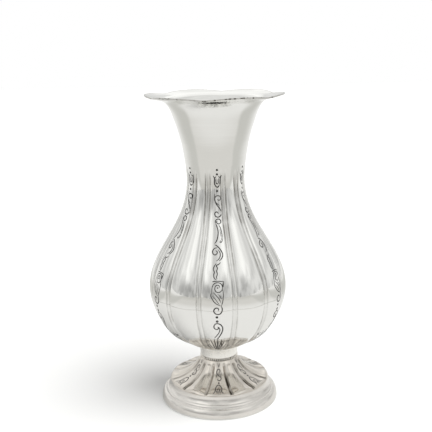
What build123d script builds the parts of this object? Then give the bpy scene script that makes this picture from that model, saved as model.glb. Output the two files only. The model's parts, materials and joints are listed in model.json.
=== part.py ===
from build123d import *
import math
import os

# A sheet-silver flower vase: a pear-shaped body of twelve lobes on a fluted spreading foot,
# with a trumpet neck that opens into a scalloped lip. Millimetres, +Z up, and the origin is
# the middle of the ring that the vase stands on. A lobe faces -Y, which is the front.

# Counts and turns
LOBE_COUNT = 12
SCALLOP_COUNT = 6
MILLING_COUNT = 54
NOTCH_TURN_DEG = -7.0
FRONT_DEG = -90.0
BODY_SECTIONS = 15
OUTLINE_SAMPLES = 25

# Sheet, joints and cuts
WALL = 0.8
FOOT_WALL = 0.9
SOLDER_GAP = 0.1
SEAM_LAP = 3.0
CUT_OVERRUN = 4.0

# Foot wire: the flat ring that carries the vase, with an upstand inside the plinth
FOOT_WIRE_RADIUS = 45.9
FOOT_WIRE_HEIGHT = 0.9
FOOT_WIRE_UPSTAND = 1.8
FOOT_WIRE_WIDTH = 4.2

# Foot ring: plinth, step, bead and hollow moulding, with a flange for the dome
PLINTH_RADIUS = 45.8
PLINTH_TOP_RADIUS = 44.2
PLINTH_TOP = 6.7
PLINTH_SWELL = 0.5
STEP_RADIUS = 42.6
STEP_TOP = 7.6
BEAD_RADIUS = 40.8
BEAD_TOP = 9.9
BEAD_SWELL = 0.45
FLANGE_RADIUS = 39.0
FLANGE_INNER_RADIUS = 34.4
FLANGE_TOP = 15.4
CAVETTO_DEPTH = 0.5

# Foot dome: a flare of twelve tongues with flutes between them
DOME_RADIUS = 39.0
DOME_TOP_RADIUS = 14.2
DOME_HEIGHT = 18.2
DOME_WALL = 1.3
DOME_EDGE_SHARES = (0.98, 0.075)
DOME_SPREAD_SHARES = (0.845, 0.135)
DOME_FLARE_SHARES = (0.61, 0.225)
DOME_NECK_SHARES = (0.25, 0.52)
FLUTE_WIDTH = 2.0
FLUTE_DEPTH = 0.7

# Milled ring and stem collar
MILLED_RADIUS = 14.9
MILLED_HEIGHT = 2.2
MILLING_WIDTH = 0.7
COLLAR_RADIUS = 14.2
COLLAR_TOP_RADIUS = 15.8
COLLAR_WAIST = 0.3
COLLAR_HEIGHT = 7.6
STEM_SPIGOT_RADIUS = 12.4
STEM_SPIGOT_LENGTH = 5.0
STEM_BORE_RADIUS = 11.2

# Body: heights above the collar, and the lobes with narrow strips between them
BOWL_FLOOR_RADIUS = 15.2
BELLY_RADIUS = 53.0
BELLY_HEIGHT = 50.5
THROAT_RADIUS = 21.9
THROAT_HEIGHT = 135.0
BODY_TOP_RADIUS = 22.75
BODY_HEIGHT = 145.6
SEAM_HEIGHT = 49.0
FLANK_LOW_SHARES = (0.72, 0.27)
FLANK_HIGH_SHARES = (0.93, 0.60)
SHOULDER_LOW_SHARES = (0.58, 0.404)
SHOULDER_HIGH_SHARES = (0.15, 0.70)
LOBE_RISE = 1.6
LOBE_FADE_LOW = 7.0
LOBE_FADE_HIGH = 9.0
STRIP_WIDTH = 3.2
STRIP_RISE = 0.25

# Trumpet neck and scalloped lip: heights above the body
NECK_HEIGHT = 51.4
NECK_WAIST_SHARES = (0.083, 0.294)
NECK_FLARE_SHARES = (0.262, 0.647)
LIP_TURN_SHARES = (0.536, 0.903)
LIP_SHARES = (0.77, 0.941)
SCALLOP_TIP_RADIUS = 52.3
SCALLOP_NOTCH_DEPTH = 4.1
NOTCH_FILLET = 5.0
RIM_WIDTH = 1.2
RIM_PROUD = 0.1
NECK_SPIGOT_LENGTH = 6.0

# Levels of the stack above the floor
DOME_BASE = FLANGE_TOP
MILLED_BASE = DOME_BASE + DOME_HEIGHT
COLLAR_BASE = MILLED_BASE + MILLED_HEIGHT
BODY_BASE = COLLAR_BASE + COLLAR_HEIGHT
SEAM_LEVEL = BODY_BASE + SEAM_HEIGHT
NECK_BASE = BODY_BASE + BODY_HEIGHT
TOP_LEVEL = NECK_BASE + NECK_HEIGHT
WIDEST_RADIUS = max(BELLY_RADIUS, SCALLOP_TIP_RADIUS, FOOT_WIRE_RADIUS)
LOBE_STEP_DEG = 360.0 / LOBE_COUNT
SCALLOP_STEP_DEG = 360.0 / SCALLOP_COUNT


def polar(radius, angle_deg, level=0.0):
    """A point at a radius and an angle about the vase's axis."""
    angle = math.radians(angle_deg)
    return Vector(radius * math.cos(angle), radius * math.sin(angle), level)


def between(low, high, share):
    """The value that lies a share of the way from low to high."""
    return low + (high - low) * share


def ease(share):
    """A smooth ramp from 0 to 1."""
    share = min(max(share, 0.0), 1.0)
    return share * share * (3.0 - 2.0 * share)


def spin(*curves):
    """The solid that an outline of radius and level makes when it turns about the axis."""
    edges = [edge for curve in curves for edge in curve.edges()]
    return revolve(Plane.XZ * make_face(Wire(edges)), Axis.Z)


def spin_polygon(*points):
    """The solid of revolution of a straight-sided outline."""
    return revolve(Plane.XZ * make_face(Polyline(*points, close=True)), Axis.Z)


def swollen(start, end, swell):
    """An arc from start to end that swells to its right-hand side, or hollows if negative."""
    a, b = Vector(*start), Vector(*end)
    along = (b - a).normalized()
    side = Vector(along.Y, -along.X)
    return ThreePointArc(a, (a + b) * 0.5 + side * swell, b)


def sunk(outline, share, depth):
    """A point of an outline moved inward, to the left of its run, by a depth."""
    point = outline.position_at(share)
    along = outline.tangent_at(share).normalized()
    return point + Vector(-along.Y, along.X) * depth


def sunk_curve(outline, depth):
    """A curve at an even depth below an outline."""
    shares = [i / (OUTLINE_SAMPLES - 1) for i in range(OUTLINE_SAMPLES)]
    return Spline(*[sunk(outline, share, depth) for share in shares])


def sheet(outline, outer_depth, inner_depth):
    """A spun sheet between two depths below an outline."""
    outer = sunk_curve(outline, outer_depth)
    inner = sunk_curve(outline, inner_depth)
    return spin(outer, Line(outer @ 1, inner @ 1), inner, Line(inner @ 0, outer @ 0))


def lobed_face(level, crown, rise, strip_width, strip_rise):
    """A horizontal section: lobe arcs whose crowns reach one radius, with a strip between each two."""
    crease = crown - rise
    half_strip = math.degrees(math.asin(strip_width / (2.0 * crease)))
    edges = []
    for i in range(LOBE_COUNT):
        middle = FRONT_DEG + i * LOBE_STEP_DEG
        start = middle - LOBE_STEP_DEG / 2.0 + half_strip
        end = middle + LOBE_STEP_DEG / 2.0 - half_strip
        edges.append(ThreePointArc(polar(crease, start, level), polar(crown, middle, level),
                                   polar(crease, end, level)))
        edges.append(ThreePointArc(polar(crease, end, level),
                                   polar(crease + strip_rise, middle + LOBE_STEP_DEG / 2.0, level),
                                   polar(crease, end + 2.0 * half_strip, level)))
    return make_face(Wire(edges))


def body_outline():
    """The body's outside from the bowl's floor to the neck, as radius and level."""
    flank_low = (BELLY_RADIUS * FLANK_LOW_SHARES[0], BODY_BASE + BELLY_HEIGHT * FLANK_LOW_SHARES[1])
    flank_high = (BELLY_RADIUS * FLANK_HIGH_SHARES[0], BODY_BASE + BELLY_HEIGHT * FLANK_HIGH_SHARES[1])
    shoulder_low = (between(THROAT_RADIUS, BELLY_RADIUS, SHOULDER_LOW_SHARES[0]),
                    BODY_BASE + between(BELLY_HEIGHT, THROAT_HEIGHT, SHOULDER_LOW_SHARES[1]))
    shoulder_high = (between(THROAT_RADIUS, BELLY_RADIUS, SHOULDER_HIGH_SHARES[0]),
                     BODY_BASE + between(BELLY_HEIGHT, THROAT_HEIGHT, SHOULDER_HIGH_SHARES[1]))
    return Spline((BOWL_FLOOR_RADIUS, BODY_BASE), flank_low, flank_high,
                  (BELLY_RADIUS, BODY_BASE + BELLY_HEIGHT), shoulder_low, shoulder_high,
                  (THROAT_RADIUS, BODY_BASE + THROAT_HEIGHT),
                  (BODY_TOP_RADIUS, NECK_BASE))


def body_solid(depth):
    """The lobed form at an even depth below the body's outside."""
    outline = body_outline()
    faces = []
    for i in range(BODY_SECTIONS):
        point = sunk(outline, i / (BODY_SECTIONS - 1), depth)
        low_fade = ease((point.Y - BODY_BASE) / LOBE_FADE_LOW)
        high_fade = ease((NECK_BASE - point.Y) / LOBE_FADE_HIGH)
        swell = low_fade * high_fade * point.X / BELLY_RADIUS
        faces.append(lobed_face(point.Y, point.X, LOBE_RISE * swell, STRIP_WIDTH, STRIP_RISE * swell))
    return loft(faces)


def slab(low, high):
    """A disc, wider than the vase, between two levels."""
    return Pos(0, 0, low) * Cylinder(WIDEST_RADIUS + CUT_OVERRUN, high - low,
                                     align=(Align.CENTER, Align.CENTER, Align.MIN))


def body_halves():
    """The raised upper and lower halves, which meet in a half lap at the seam."""
    outside = body_solid(0.0)
    inside = body_solid(WALL)
    rabbet = body_solid(WALL / 2.0)
    tongue = body_solid(WALL / 2.0 + SOLDER_GAP)
    lap_level = SEAM_LEVEL - SEAM_LAP
    upper = outside & slab(lap_level, NECK_BASE + CUT_OVERRUN)
    upper -= inside & slab(SEAM_LEVEL, NECK_BASE + CUT_OVERRUN)
    upper -= rabbet & slab(lap_level - CUT_OVERRUN, SEAM_LEVEL)
    lower = outside & slab(BODY_BASE - CUT_OVERRUN, lap_level)
    lower += tongue & slab(lap_level, SEAM_LEVEL)
    lower -= inside & slab(BODY_BASE - CUT_OVERRUN, SEAM_LEVEL + CUT_OVERRUN)
    return upper, lower


def neck_outline():
    """The neck's outside from the body to past the scallops, as radius and level."""
    points = [Vector(between(BODY_TOP_RADIUS, SCALLOP_TIP_RADIUS, radius_share),
                     NECK_BASE + NECK_HEIGHT * height_share)
              for radius_share, height_share in (NECK_WAIST_SHARES, NECK_FLARE_SHARES, LIP_TURN_SHARES,
                                                 LIP_SHARES)]
    tip = Vector(SCALLOP_TIP_RADIUS, TOP_LEVEL - WALL - RIM_PROUD)
    past_tip = tip + (tip - points[-1]).normalized() * RIM_WIDTH
    return Spline((BODY_TOP_RADIUS, NECK_BASE), *points, tip, past_tip)


def scallop_prism(inset):
    """An upright prism with the lip's scalloped plan, drawn in by an inset."""
    edges = []
    notch_radius = SCALLOP_TIP_RADIUS - SCALLOP_NOTCH_DEPTH
    for i in range(SCALLOP_COUNT):
        notch = FRONT_DEG + NOTCH_TURN_DEG + i * SCALLOP_STEP_DEG
        edges.append(ThreePointArc(polar(notch_radius, notch),
                                   polar(SCALLOP_TIP_RADIUS, notch + SCALLOP_STEP_DEG / 2.0),
                                   polar(notch_radius, notch + SCALLOP_STEP_DEG)))
    plan = make_face(Wire(edges))
    plan = fillet(plan.vertices(), NOTCH_FILLET)
    if inset:
        plan = offset(plan, -inset)
    return Pos(0, 0, NECK_BASE - CUT_OVERRUN) * extrude(plan, NECK_HEIGHT + 2.0 * CUT_OVERRUN)


def neck_spigot():
    """The sleeve below the neck, which slides into the body's throat."""
    outer = THROAT_RADIUS - WALL - LOBE_RISE * THROAT_RADIUS / BELLY_RADIUS - SOLDER_GAP
    inner = outer - WALL
    root = BODY_TOP_RADIUS - WALL / 2.0
    bottom = NECK_BASE - NECK_SPIGOT_LENGTH
    return spin_polygon((inner, bottom), (outer, bottom), (outer, NECK_BASE), (root, NECK_BASE),
                        (root, NECK_BASE + WALL), (inner, NECK_BASE + WALL))


def trumpet_neck():
    """The spun neck, cut to the scallops, with its spigot."""
    flare = sheet(neck_outline(), 0.0, WALL) & slab(NECK_BASE, TOP_LEVEL)
    return (flare & scallop_prism(RIM_WIDTH)) + neck_spigot()


def rim_wire():
    """The stiffening wire that follows the scalloped edge."""
    band = sheet(neck_outline(), -RIM_PROUD, WALL + RIM_PROUD)
    band &= slab(NECK_BASE + NECK_HEIGHT * LIP_TURN_SHARES[1], TOP_LEVEL)
    return (band & scallop_prism(0.0)) - scallop_prism(RIM_WIDTH)


def stem_collar():
    """The collar under the bowl, with a spigot through the milled ring into the dome."""
    spigot_end = COLLAR_BASE - STEM_SPIGOT_LENGTH
    return spin(
        Line((STEM_BORE_RADIUS, spigot_end), (STEM_SPIGOT_RADIUS, spigot_end)),
        Line((STEM_SPIGOT_RADIUS, spigot_end), (STEM_SPIGOT_RADIUS, COLLAR_BASE)),
        Line((STEM_SPIGOT_RADIUS, COLLAR_BASE), (COLLAR_RADIUS, COLLAR_BASE)),
        swollen((COLLAR_RADIUS, COLLAR_BASE), (COLLAR_TOP_RADIUS, BODY_BASE), -COLLAR_WAIST),
        Line((COLLAR_TOP_RADIUS, BODY_BASE), (STEM_BORE_RADIUS, BODY_BASE)),
        Line((STEM_BORE_RADIUS, BODY_BASE), (STEM_BORE_RADIUS, spigot_end)),
    )


def milled_ring():
    """A half-round ring nicked all the way round."""
    bore = STEM_SPIGOT_RADIUS + SOLDER_GAP
    shoulder = MILLED_RADIUS - MILLED_HEIGHT / 2.0
    ring = spin(
        Line((bore, MILLED_BASE), (shoulder, MILLED_BASE)),
        ThreePointArc((shoulder, MILLED_BASE), (MILLED_RADIUS, MILLED_BASE + MILLED_HEIGHT / 2.0),
                      (shoulder, COLLAR_BASE)),
        Line((shoulder, COLLAR_BASE), (bore, COLLAR_BASE)),
        Line((bore, COLLAR_BASE), (bore, MILLED_BASE)),
    )
    nick = Cylinder(MILLING_WIDTH / 2.0, MILLED_HEIGHT, align=(Align.CENTER, Align.CENTER, Align.MIN))
    nicks = PolarLocations(MILLED_RADIUS, MILLING_COUNT)
    return ring - [Pos(0, 0, MILLED_BASE) * place * nick for place in nicks]


def dome_outline():
    """The dome's outside from its edge on the flange up to the milled ring, as radius and level."""
    points = [(between(DOME_TOP_RADIUS, DOME_RADIUS, radius_share), DOME_BASE + DOME_HEIGHT * height_share)
              for radius_share, height_share in (DOME_EDGE_SHARES, DOME_SPREAD_SHARES, DOME_FLARE_SHARES,
                                                 DOME_NECK_SHARES)]
    return Spline((DOME_RADIUS, DOME_BASE), *points, (DOME_TOP_RADIUS, MILLED_BASE))


def dome_flute():
    """The cutter for one flute, along +X: everything outside a line at the flute's depth."""
    bottom = sunk_curve(dome_outline(), FLUTE_DEPTH)
    clear = DOME_RADIUS + CUT_OVERRUN
    top_corner = (clear, (bottom @ 1).Y)
    low_corner = (clear, (bottom @ 0).Y)
    section = make_face(Wire([*bottom.edges(), Line(bottom @ 1, top_corner), Line(top_corner, low_corner),
                              Line(low_corner, bottom @ 0)]))
    return extrude(Plane.XZ * section, FLUTE_WIDTH / 2.0, both=True)


def foot_dome():
    """The fluted dome, with a flat seat for the milled ring and a bore for the collar's spigot."""
    bore = STEM_SPIGOT_RADIUS + SOLDER_GAP
    seat = spin_polygon((bore, MILLED_BASE - DOME_WALL), (DOME_TOP_RADIUS, MILLED_BASE - DOME_WALL),
                        (DOME_TOP_RADIUS, MILLED_BASE), (bore, MILLED_BASE))
    dome = sheet(dome_outline(), 0.0, DOME_WALL) & slab(DOME_BASE, MILLED_BASE)
    dome -= Cylinder(bore, TOP_LEVEL)
    flute = dome_flute()
    first = FRONT_DEG + LOBE_STEP_DEG / 2.0
    dome -= [Rot(0, 0, first + i * LOBE_STEP_DEG) * flute for i in range(LOBE_COUNT)]
    return dome + seat


def foot_ring():
    """The moulded ring from the plinth up to the dome's flange."""
    outside = [(PLINTH_RADIUS, FOOT_WIRE_HEIGHT), (PLINTH_TOP_RADIUS, PLINTH_TOP), (STEP_RADIUS, STEP_TOP),
               (BEAD_RADIUS, BEAD_TOP), (FLANGE_RADIUS, FLANGE_TOP), (FLANGE_INNER_RADIUS, FLANGE_TOP)]
    inside = [(radius - FOOT_WALL, level - FOOT_WALL) for radius, level in outside[1:-1]]
    inside.insert(0, (PLINTH_TOP_RADIUS - FOOT_WALL, FOOT_WIRE_HEIGHT))
    inside.append((FLANGE_INNER_RADIUS, FLANGE_TOP - FOOT_WALL))
    return spin(
        swollen(outside[0], outside[1], PLINTH_SWELL),
        Line(outside[1], outside[2]),
        swollen(outside[2], outside[3], BEAD_SWELL),
        swollen(outside[3], outside[4], -CAVETTO_DEPTH),
        Line(outside[4], outside[5]),
        Line(outside[5], inside[5]),
        Polyline(*reversed(inside)),
        Line(inside[0], outside[0]),
    )


def foot_wire():
    """The flat ring under the plinth, with the upstand that centres it."""
    inner = FOOT_WIRE_RADIUS - FOOT_WIRE_WIDTH
    upstand = PLINTH_TOP_RADIUS - FOOT_WALL - SOLDER_GAP
    top = FOOT_WIRE_HEIGHT + FOOT_WIRE_UPSTAND
    return spin_polygon((inner, 0), (FOOT_WIRE_RADIUS, 0), (FOOT_WIRE_RADIUS, FOOT_WIRE_HEIGHT),
                        (upstand, FOOT_WIRE_HEIGHT), (upstand, top), (inner, top))


def main():
    """Build every sub-part and write one file for each."""
    body_upper, body_lower = body_halves()
    nodes = {
        "trumpet_neck": trumpet_neck(),
        "rim_wire": rim_wire(),
        "body_upper": body_upper,
        "body_lower": body_lower,
        "stem_collar": stem_collar(),
        "milled_ring": milled_ring(),
        "foot_dome": foot_dome(),
        "foot_ring": foot_ring(),
        "foot_wire": foot_wire(),
    }
    os.makedirs("parts", exist_ok=True)
    for name, solid in nodes.items():
        export_step(solid, f"parts/{name}.step")
        box = solid.bounding_box()
        span = f"z {box.min.Z:.2f} to {box.max.Z:.2f}"
        print(f"{name}: {len(solid.solids())} solid, {solid.volume:.1f} mm3, {span}")


main()
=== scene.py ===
"""Looks of a sheet-silver flower vase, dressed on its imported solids.

The vase is raised and spun from silver sheet: a pear-shaped body of twelve lobes with a narrow reed between
each two, a trumpet neck that opens into a scalloped lip, and a fluted foot on a moulded ring. Every second
lobe and tongue carries a chased scroll. Sizes in the classes are millimetres and degrees, and meshes are
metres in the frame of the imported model. A lobe faces -Y, which is the front.
"""

from __future__ import annotations

import json
import logging
import math
from dataclasses import dataclass, field, fields
from enum import Enum
from functools import cache
from typing import Sequence

import bpy
import numpy as np
from mathutils import Matrix, Vector

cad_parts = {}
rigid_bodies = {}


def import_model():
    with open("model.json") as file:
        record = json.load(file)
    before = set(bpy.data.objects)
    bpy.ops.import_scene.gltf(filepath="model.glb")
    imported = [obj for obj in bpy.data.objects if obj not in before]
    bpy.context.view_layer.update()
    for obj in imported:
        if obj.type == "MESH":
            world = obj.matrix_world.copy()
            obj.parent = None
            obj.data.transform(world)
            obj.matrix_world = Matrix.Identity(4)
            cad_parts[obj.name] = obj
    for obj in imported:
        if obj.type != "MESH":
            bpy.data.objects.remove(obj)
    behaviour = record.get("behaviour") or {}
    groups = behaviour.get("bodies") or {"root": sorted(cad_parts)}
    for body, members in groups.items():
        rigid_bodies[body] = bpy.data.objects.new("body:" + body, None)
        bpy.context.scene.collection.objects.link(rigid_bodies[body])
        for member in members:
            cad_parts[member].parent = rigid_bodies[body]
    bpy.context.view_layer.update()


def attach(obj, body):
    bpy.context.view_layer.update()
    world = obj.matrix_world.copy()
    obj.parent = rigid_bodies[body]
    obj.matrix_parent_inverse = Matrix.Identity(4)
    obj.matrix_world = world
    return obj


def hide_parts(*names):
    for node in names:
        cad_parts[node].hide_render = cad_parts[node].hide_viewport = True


MM = 0.001
TURN = 2.0 * math.pi
FRONT = math.radians(-90.0)
RIDES_ON = "root"
CREASE = "crease"
INSIDE = "inside"
LOG = logging.getLogger("vase")

GEOMETRY_TREE = "GeometryNodeTree"
SHADER_TREE = "ShaderNodeTree"
GEOMETRY = "NodeSocketGeometry"
FLOAT = "NodeSocketFloat"
INTEGER = "NodeSocketInt"
VECTOR = "NodeSocketVector"
COLOUR = "NodeSocketColor"
OBJECT = "NodeSocketObject"
MATERIAL = "NodeSocketMaterial"

Point = tuple[float, float]
Colour = tuple[float, float, float]
Span = tuple[float, float]
Knot = tuple[float, float, float, float]

WHITE: Colour = (1.0, 1.0, 1.0)
DULL_SILVER: Colour = (0.72, 0.71, 0.69)


class Slot(Enum):
    """The record's finishes."""

    SILVER = "polished_silver"
    WIRE = "silver_wire"


class Between(Enum):
    """What lies between two lobes, as the power that shapes it across."""

    REED = 2.0
    FLUTE = 1.0


class Along(Enum):
    """What a chased pattern's second number is, as its column in an outline's points."""

    RADIUS = 0
    LEVEL = 1


class Graph:
    """Lays nodes in a tree and joins them."""

    def __init__(self, tree: bpy.types.NodeTree) -> None:
        """Starts on a tree.

        Args:
            tree: The tree that gets the nodes.
        """
        self.tree = tree
        self.given: bpy.types.NodeOutputs | None = None
        self.result: bpy.types.NodeInputs | None = None

    @classmethod
    def group(cls, name: str, kind: str, inputs: dict[str, str], outputs: dict[str, str]) -> Graph:
        """Starts a new group with named sockets.

        Args:
            name: The group's name.
            kind: The tree's type.
            inputs: The type of each input by name.
            outputs: The type of each output by name.

        Returns:
            The graph, with its given and result sockets in place.
        """
        tree = bpy.data.node_groups.new(name, kind)
        for way, sockets in (("INPUT", inputs), ("OUTPUT", outputs)):
            for label, socket in sockets.items():
                tree.interface.new_socket(name=label, in_out=way, socket_type=socket)
        graph = cls(tree)
        graph.given = graph.put("NodeGroupInput").outputs
        graph.result = graph.put("NodeGroupOutput").inputs
        return graph

    @classmethod
    def maker(cls, name: str, inputs: dict[str, str]) -> Graph:
        """Starts a geometry tree that makes a piece from named sizes and a finish.

        Args:
            name: The tree's name.
            inputs: The type of each size by name.

        Returns:
            The graph.
        """
        shape = {"Geometry": GEOMETRY}
        return cls.group(name, GEOMETRY_TREE, {**shape, **inputs, "Finish": MATERIAL}, shape)

    @classmethod
    def material(cls, name: str) -> tuple[Graph, bpy.types.Material]:
        """Starts a new material.

        Args:
            name: The material's name.

        Returns:
            The graph and the material.
        """
        made = bpy.data.materials.new(name)
        made.use_nodes = True
        return cls(made.node_tree), made

    def put(self, kind: str, inputs: dict | None = None, **settings: object) -> bpy.types.Node:
        """Lays one node.

        Args:
            kind: The node's type.
            inputs: What feeds each input, by name or number.
            settings: The node's own properties.

        Returns:
            The node.
        """
        node = self.tree.nodes.new(kind)
        for label, value in settings.items():
            setattr(node, label, value)
        self.fill(node, inputs or {})
        return node

    def fill(self, node: bpy.types.Node, inputs: dict) -> None:
        """Feeds some inputs of a node, given by name or number."""
        for label, value in inputs.items():
            self.feed(node.inputs[label], value)

    def feed(self, socket: bpy.types.NodeSocket, value: object) -> None:
        """Joins an output to a socket, or sets its value.

        Args:
            socket: The input.
            value: An output socket, a node, whose first output is taken, or a plain value.
        """
        if isinstance(value, bpy.types.Node):
            value = value.outputs[0]
        if isinstance(value, bpy.types.NodeSocket):
            self.tree.links.new(value, socket)
        elif socket.type == "RGBA":
            socket.default_value = (*value, 1.0)
        else:
            socket.default_value = value

    def use(self, group: bpy.types.NodeTree, inputs: dict[str, object]) -> bpy.types.NodeOutputs:
        """Lays a group in the tree.

        Args:
            group: The group.
            inputs: What feeds each of its inputs, by name.

        Returns:
            Its outputs.
        """
        kind = "GeometryNodeGroup" if group.bl_idname == GEOMETRY_TREE else "ShaderNodeGroup"
        return self.put(kind, inputs, node_tree=group).outputs

    def dress(self, shape: object) -> bpy.types.NodeTree:
        """Ends a maker's tree with a real mesh that carries the finish.

        Args:
            shape: What the tree has made.

        Returns:
            The tree.
        """
        whole = self.put("GeometryNodeRealizeInstances", {"Geometry": shape})
        dressed = self.put("GeometryNodeSetMaterial", {"Geometry": whole, "Material": self.given["Finish"]})
        self.feed(self.result["Geometry"], dressed)
        return self.tree

    def math(self, operation: str, *values: object) -> bpy.types.NodeSocket:
        """Lays one sum, and one more for each value past the second.

        Args:
            operation: The sum's kind.
            values: Its terms.

        Returns:
            The result's socket.
        """
        total = self.put("ShaderNodeMath", dict(enumerate(values[:2])), operation=operation)
        for value in values[2:]:
            total = self.put("ShaderNodeMath", {0: total, 1: value}, operation=operation)
        return total.outputs[0]

    def plus(self, *terms: object) -> bpy.types.NodeSocket:
        """Lays the sum of some terms, and returns its socket."""
        return self.math("ADD", *terms)

    def minus(self, value: object, less: object) -> bpy.types.NodeSocket:
        """Lays a difference, and returns its socket."""
        return self.math("SUBTRACT", value, less)

    def times(self, *factors: object) -> bpy.types.NodeSocket:
        """Lays the product of some factors, and returns its socket."""
        return self.math("MULTIPLY", *factors)

    def over(self, value: object, divisor: object) -> bpy.types.NodeSocket:
        """Lays a quotient, and returns its socket."""
        return self.math("DIVIDE", value, divisor)

    def least(self, first: object, second: object) -> bpy.types.NodeSocket:
        """Lays the smaller of two numbers, and returns its socket."""
        return self.math("MINIMUM", first, second)

    def most(self, first: object, second: object) -> bpy.types.NodeSocket:
        """Lays the greater of two numbers, and returns its socket."""
        return self.math("MAXIMUM", first, second)

    def ramp(self, value: object, low: object, high: object, start: float = 0.0,
             end: float = 1.0) -> bpy.types.NodeSocket:
        """Lays a smooth ramp.

        Args:
            value: What is ramped.
            low: Where the ramp starts.
            high: Where it ends, which may be below low.
            start: The result before low.
            end: The result past high.

        Returns:
            The result's socket.
        """
        inputs = {"Value": value, "From Min": low, "From Max": high, "To Min": start, "To Max": end}
        return self.put("ShaderNodeMapRange", inputs, interpolation_type="SMOOTHSTEP").outputs[0]

    def noise(self, place: object, scale: object, detail: float,
              roughness: float = 0.5) -> bpy.types.NodeSocket:
        """Lays a cloud of noise.

        Args:
            place: The coordinates.
            scale: How many of its waves lie along a metre, or along the unit of other coordinates.
            detail: The number of finer layers.
            roughness: How strong the finer layers are.

        Returns:
            The socket of its strength.
        """
        inputs = {"Vector": place, "Scale": scale, "Detail": detail, "Roughness": roughness}
        return self.put("ShaderNodeTexNoise", inputs).outputs[0]

    def mark(self, name: str) -> bpy.types.NodeSocket:
        """Lays a mesh attribute, and returns the socket of its strength."""
        return self.put("ShaderNodeAttribute", attribute_name=name).outputs["Fac"]

    def place(self) -> bpy.types.NodeSocket:
        """Lays the coordinates of a piece, and returns their socket."""
        return self.put("ShaderNodeTexCoord").outputs["Object"]

    def trace(self, curve: object, length: object) -> bpy.types.NodeOutputs:
        """Lays a look-up of what lies at a length along a curve, and returns its outputs."""
        return self.put("GeometryNodeSampleCurve", {"Curves": curve, "Length": length}, mode="LENGTH").outputs

    def shape_of(self, item: object) -> bpy.types.NodeSocket:
        """Lays the shape of another object, and returns its socket."""
        return self.put("GeometryNodeObjectInfo", {"Object": item}).outputs["Geometry"]

    def evenly(self, count: object) -> bpy.types.NodeSocket:
        """Lays the turn that spreads a count of copies evenly round the axis, and returns its socket."""
        return self.join(z=self.times(self.put("GeometryNodeInputIndex"), self.over(TURN, count)))

    def split(self, vector: object) -> bpy.types.NodeOutputs:
        """Lays a node that gives the three parts of a vector, and returns its outputs."""
        return self.put("ShaderNodeSeparateXYZ", {0: vector}).outputs

    def join(self, x: object = 0.0, y: object = 0.0, z: object = 0.0) -> bpy.types.NodeSocket:
        """Lays a node that makes a vector of three parts, and returns its socket."""
        return self.put("ShaderNodeCombineXYZ", {0: x, 1: y, 2: z}).outputs[0]

    def choose(self, test: object, yes: object, no: object) -> bpy.types.NodeSocket:
        """Lays a choice between two numbers, and returns its socket."""
        inputs = {"Switch": test, "True": yes, "False": no}
        return self.put("GeometryNodeSwitch", inputs, input_type="FLOAT").outputs[0]

    def tint(self, share: object, first: object, second: object) -> bpy.types.NodeSocket:
        """Lays a mix of two colours, and returns its socket."""
        return self.put("ShaderNodeMix", {0: share, 6: first, 7: second}, data_type="RGBA").outputs[2]


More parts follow.
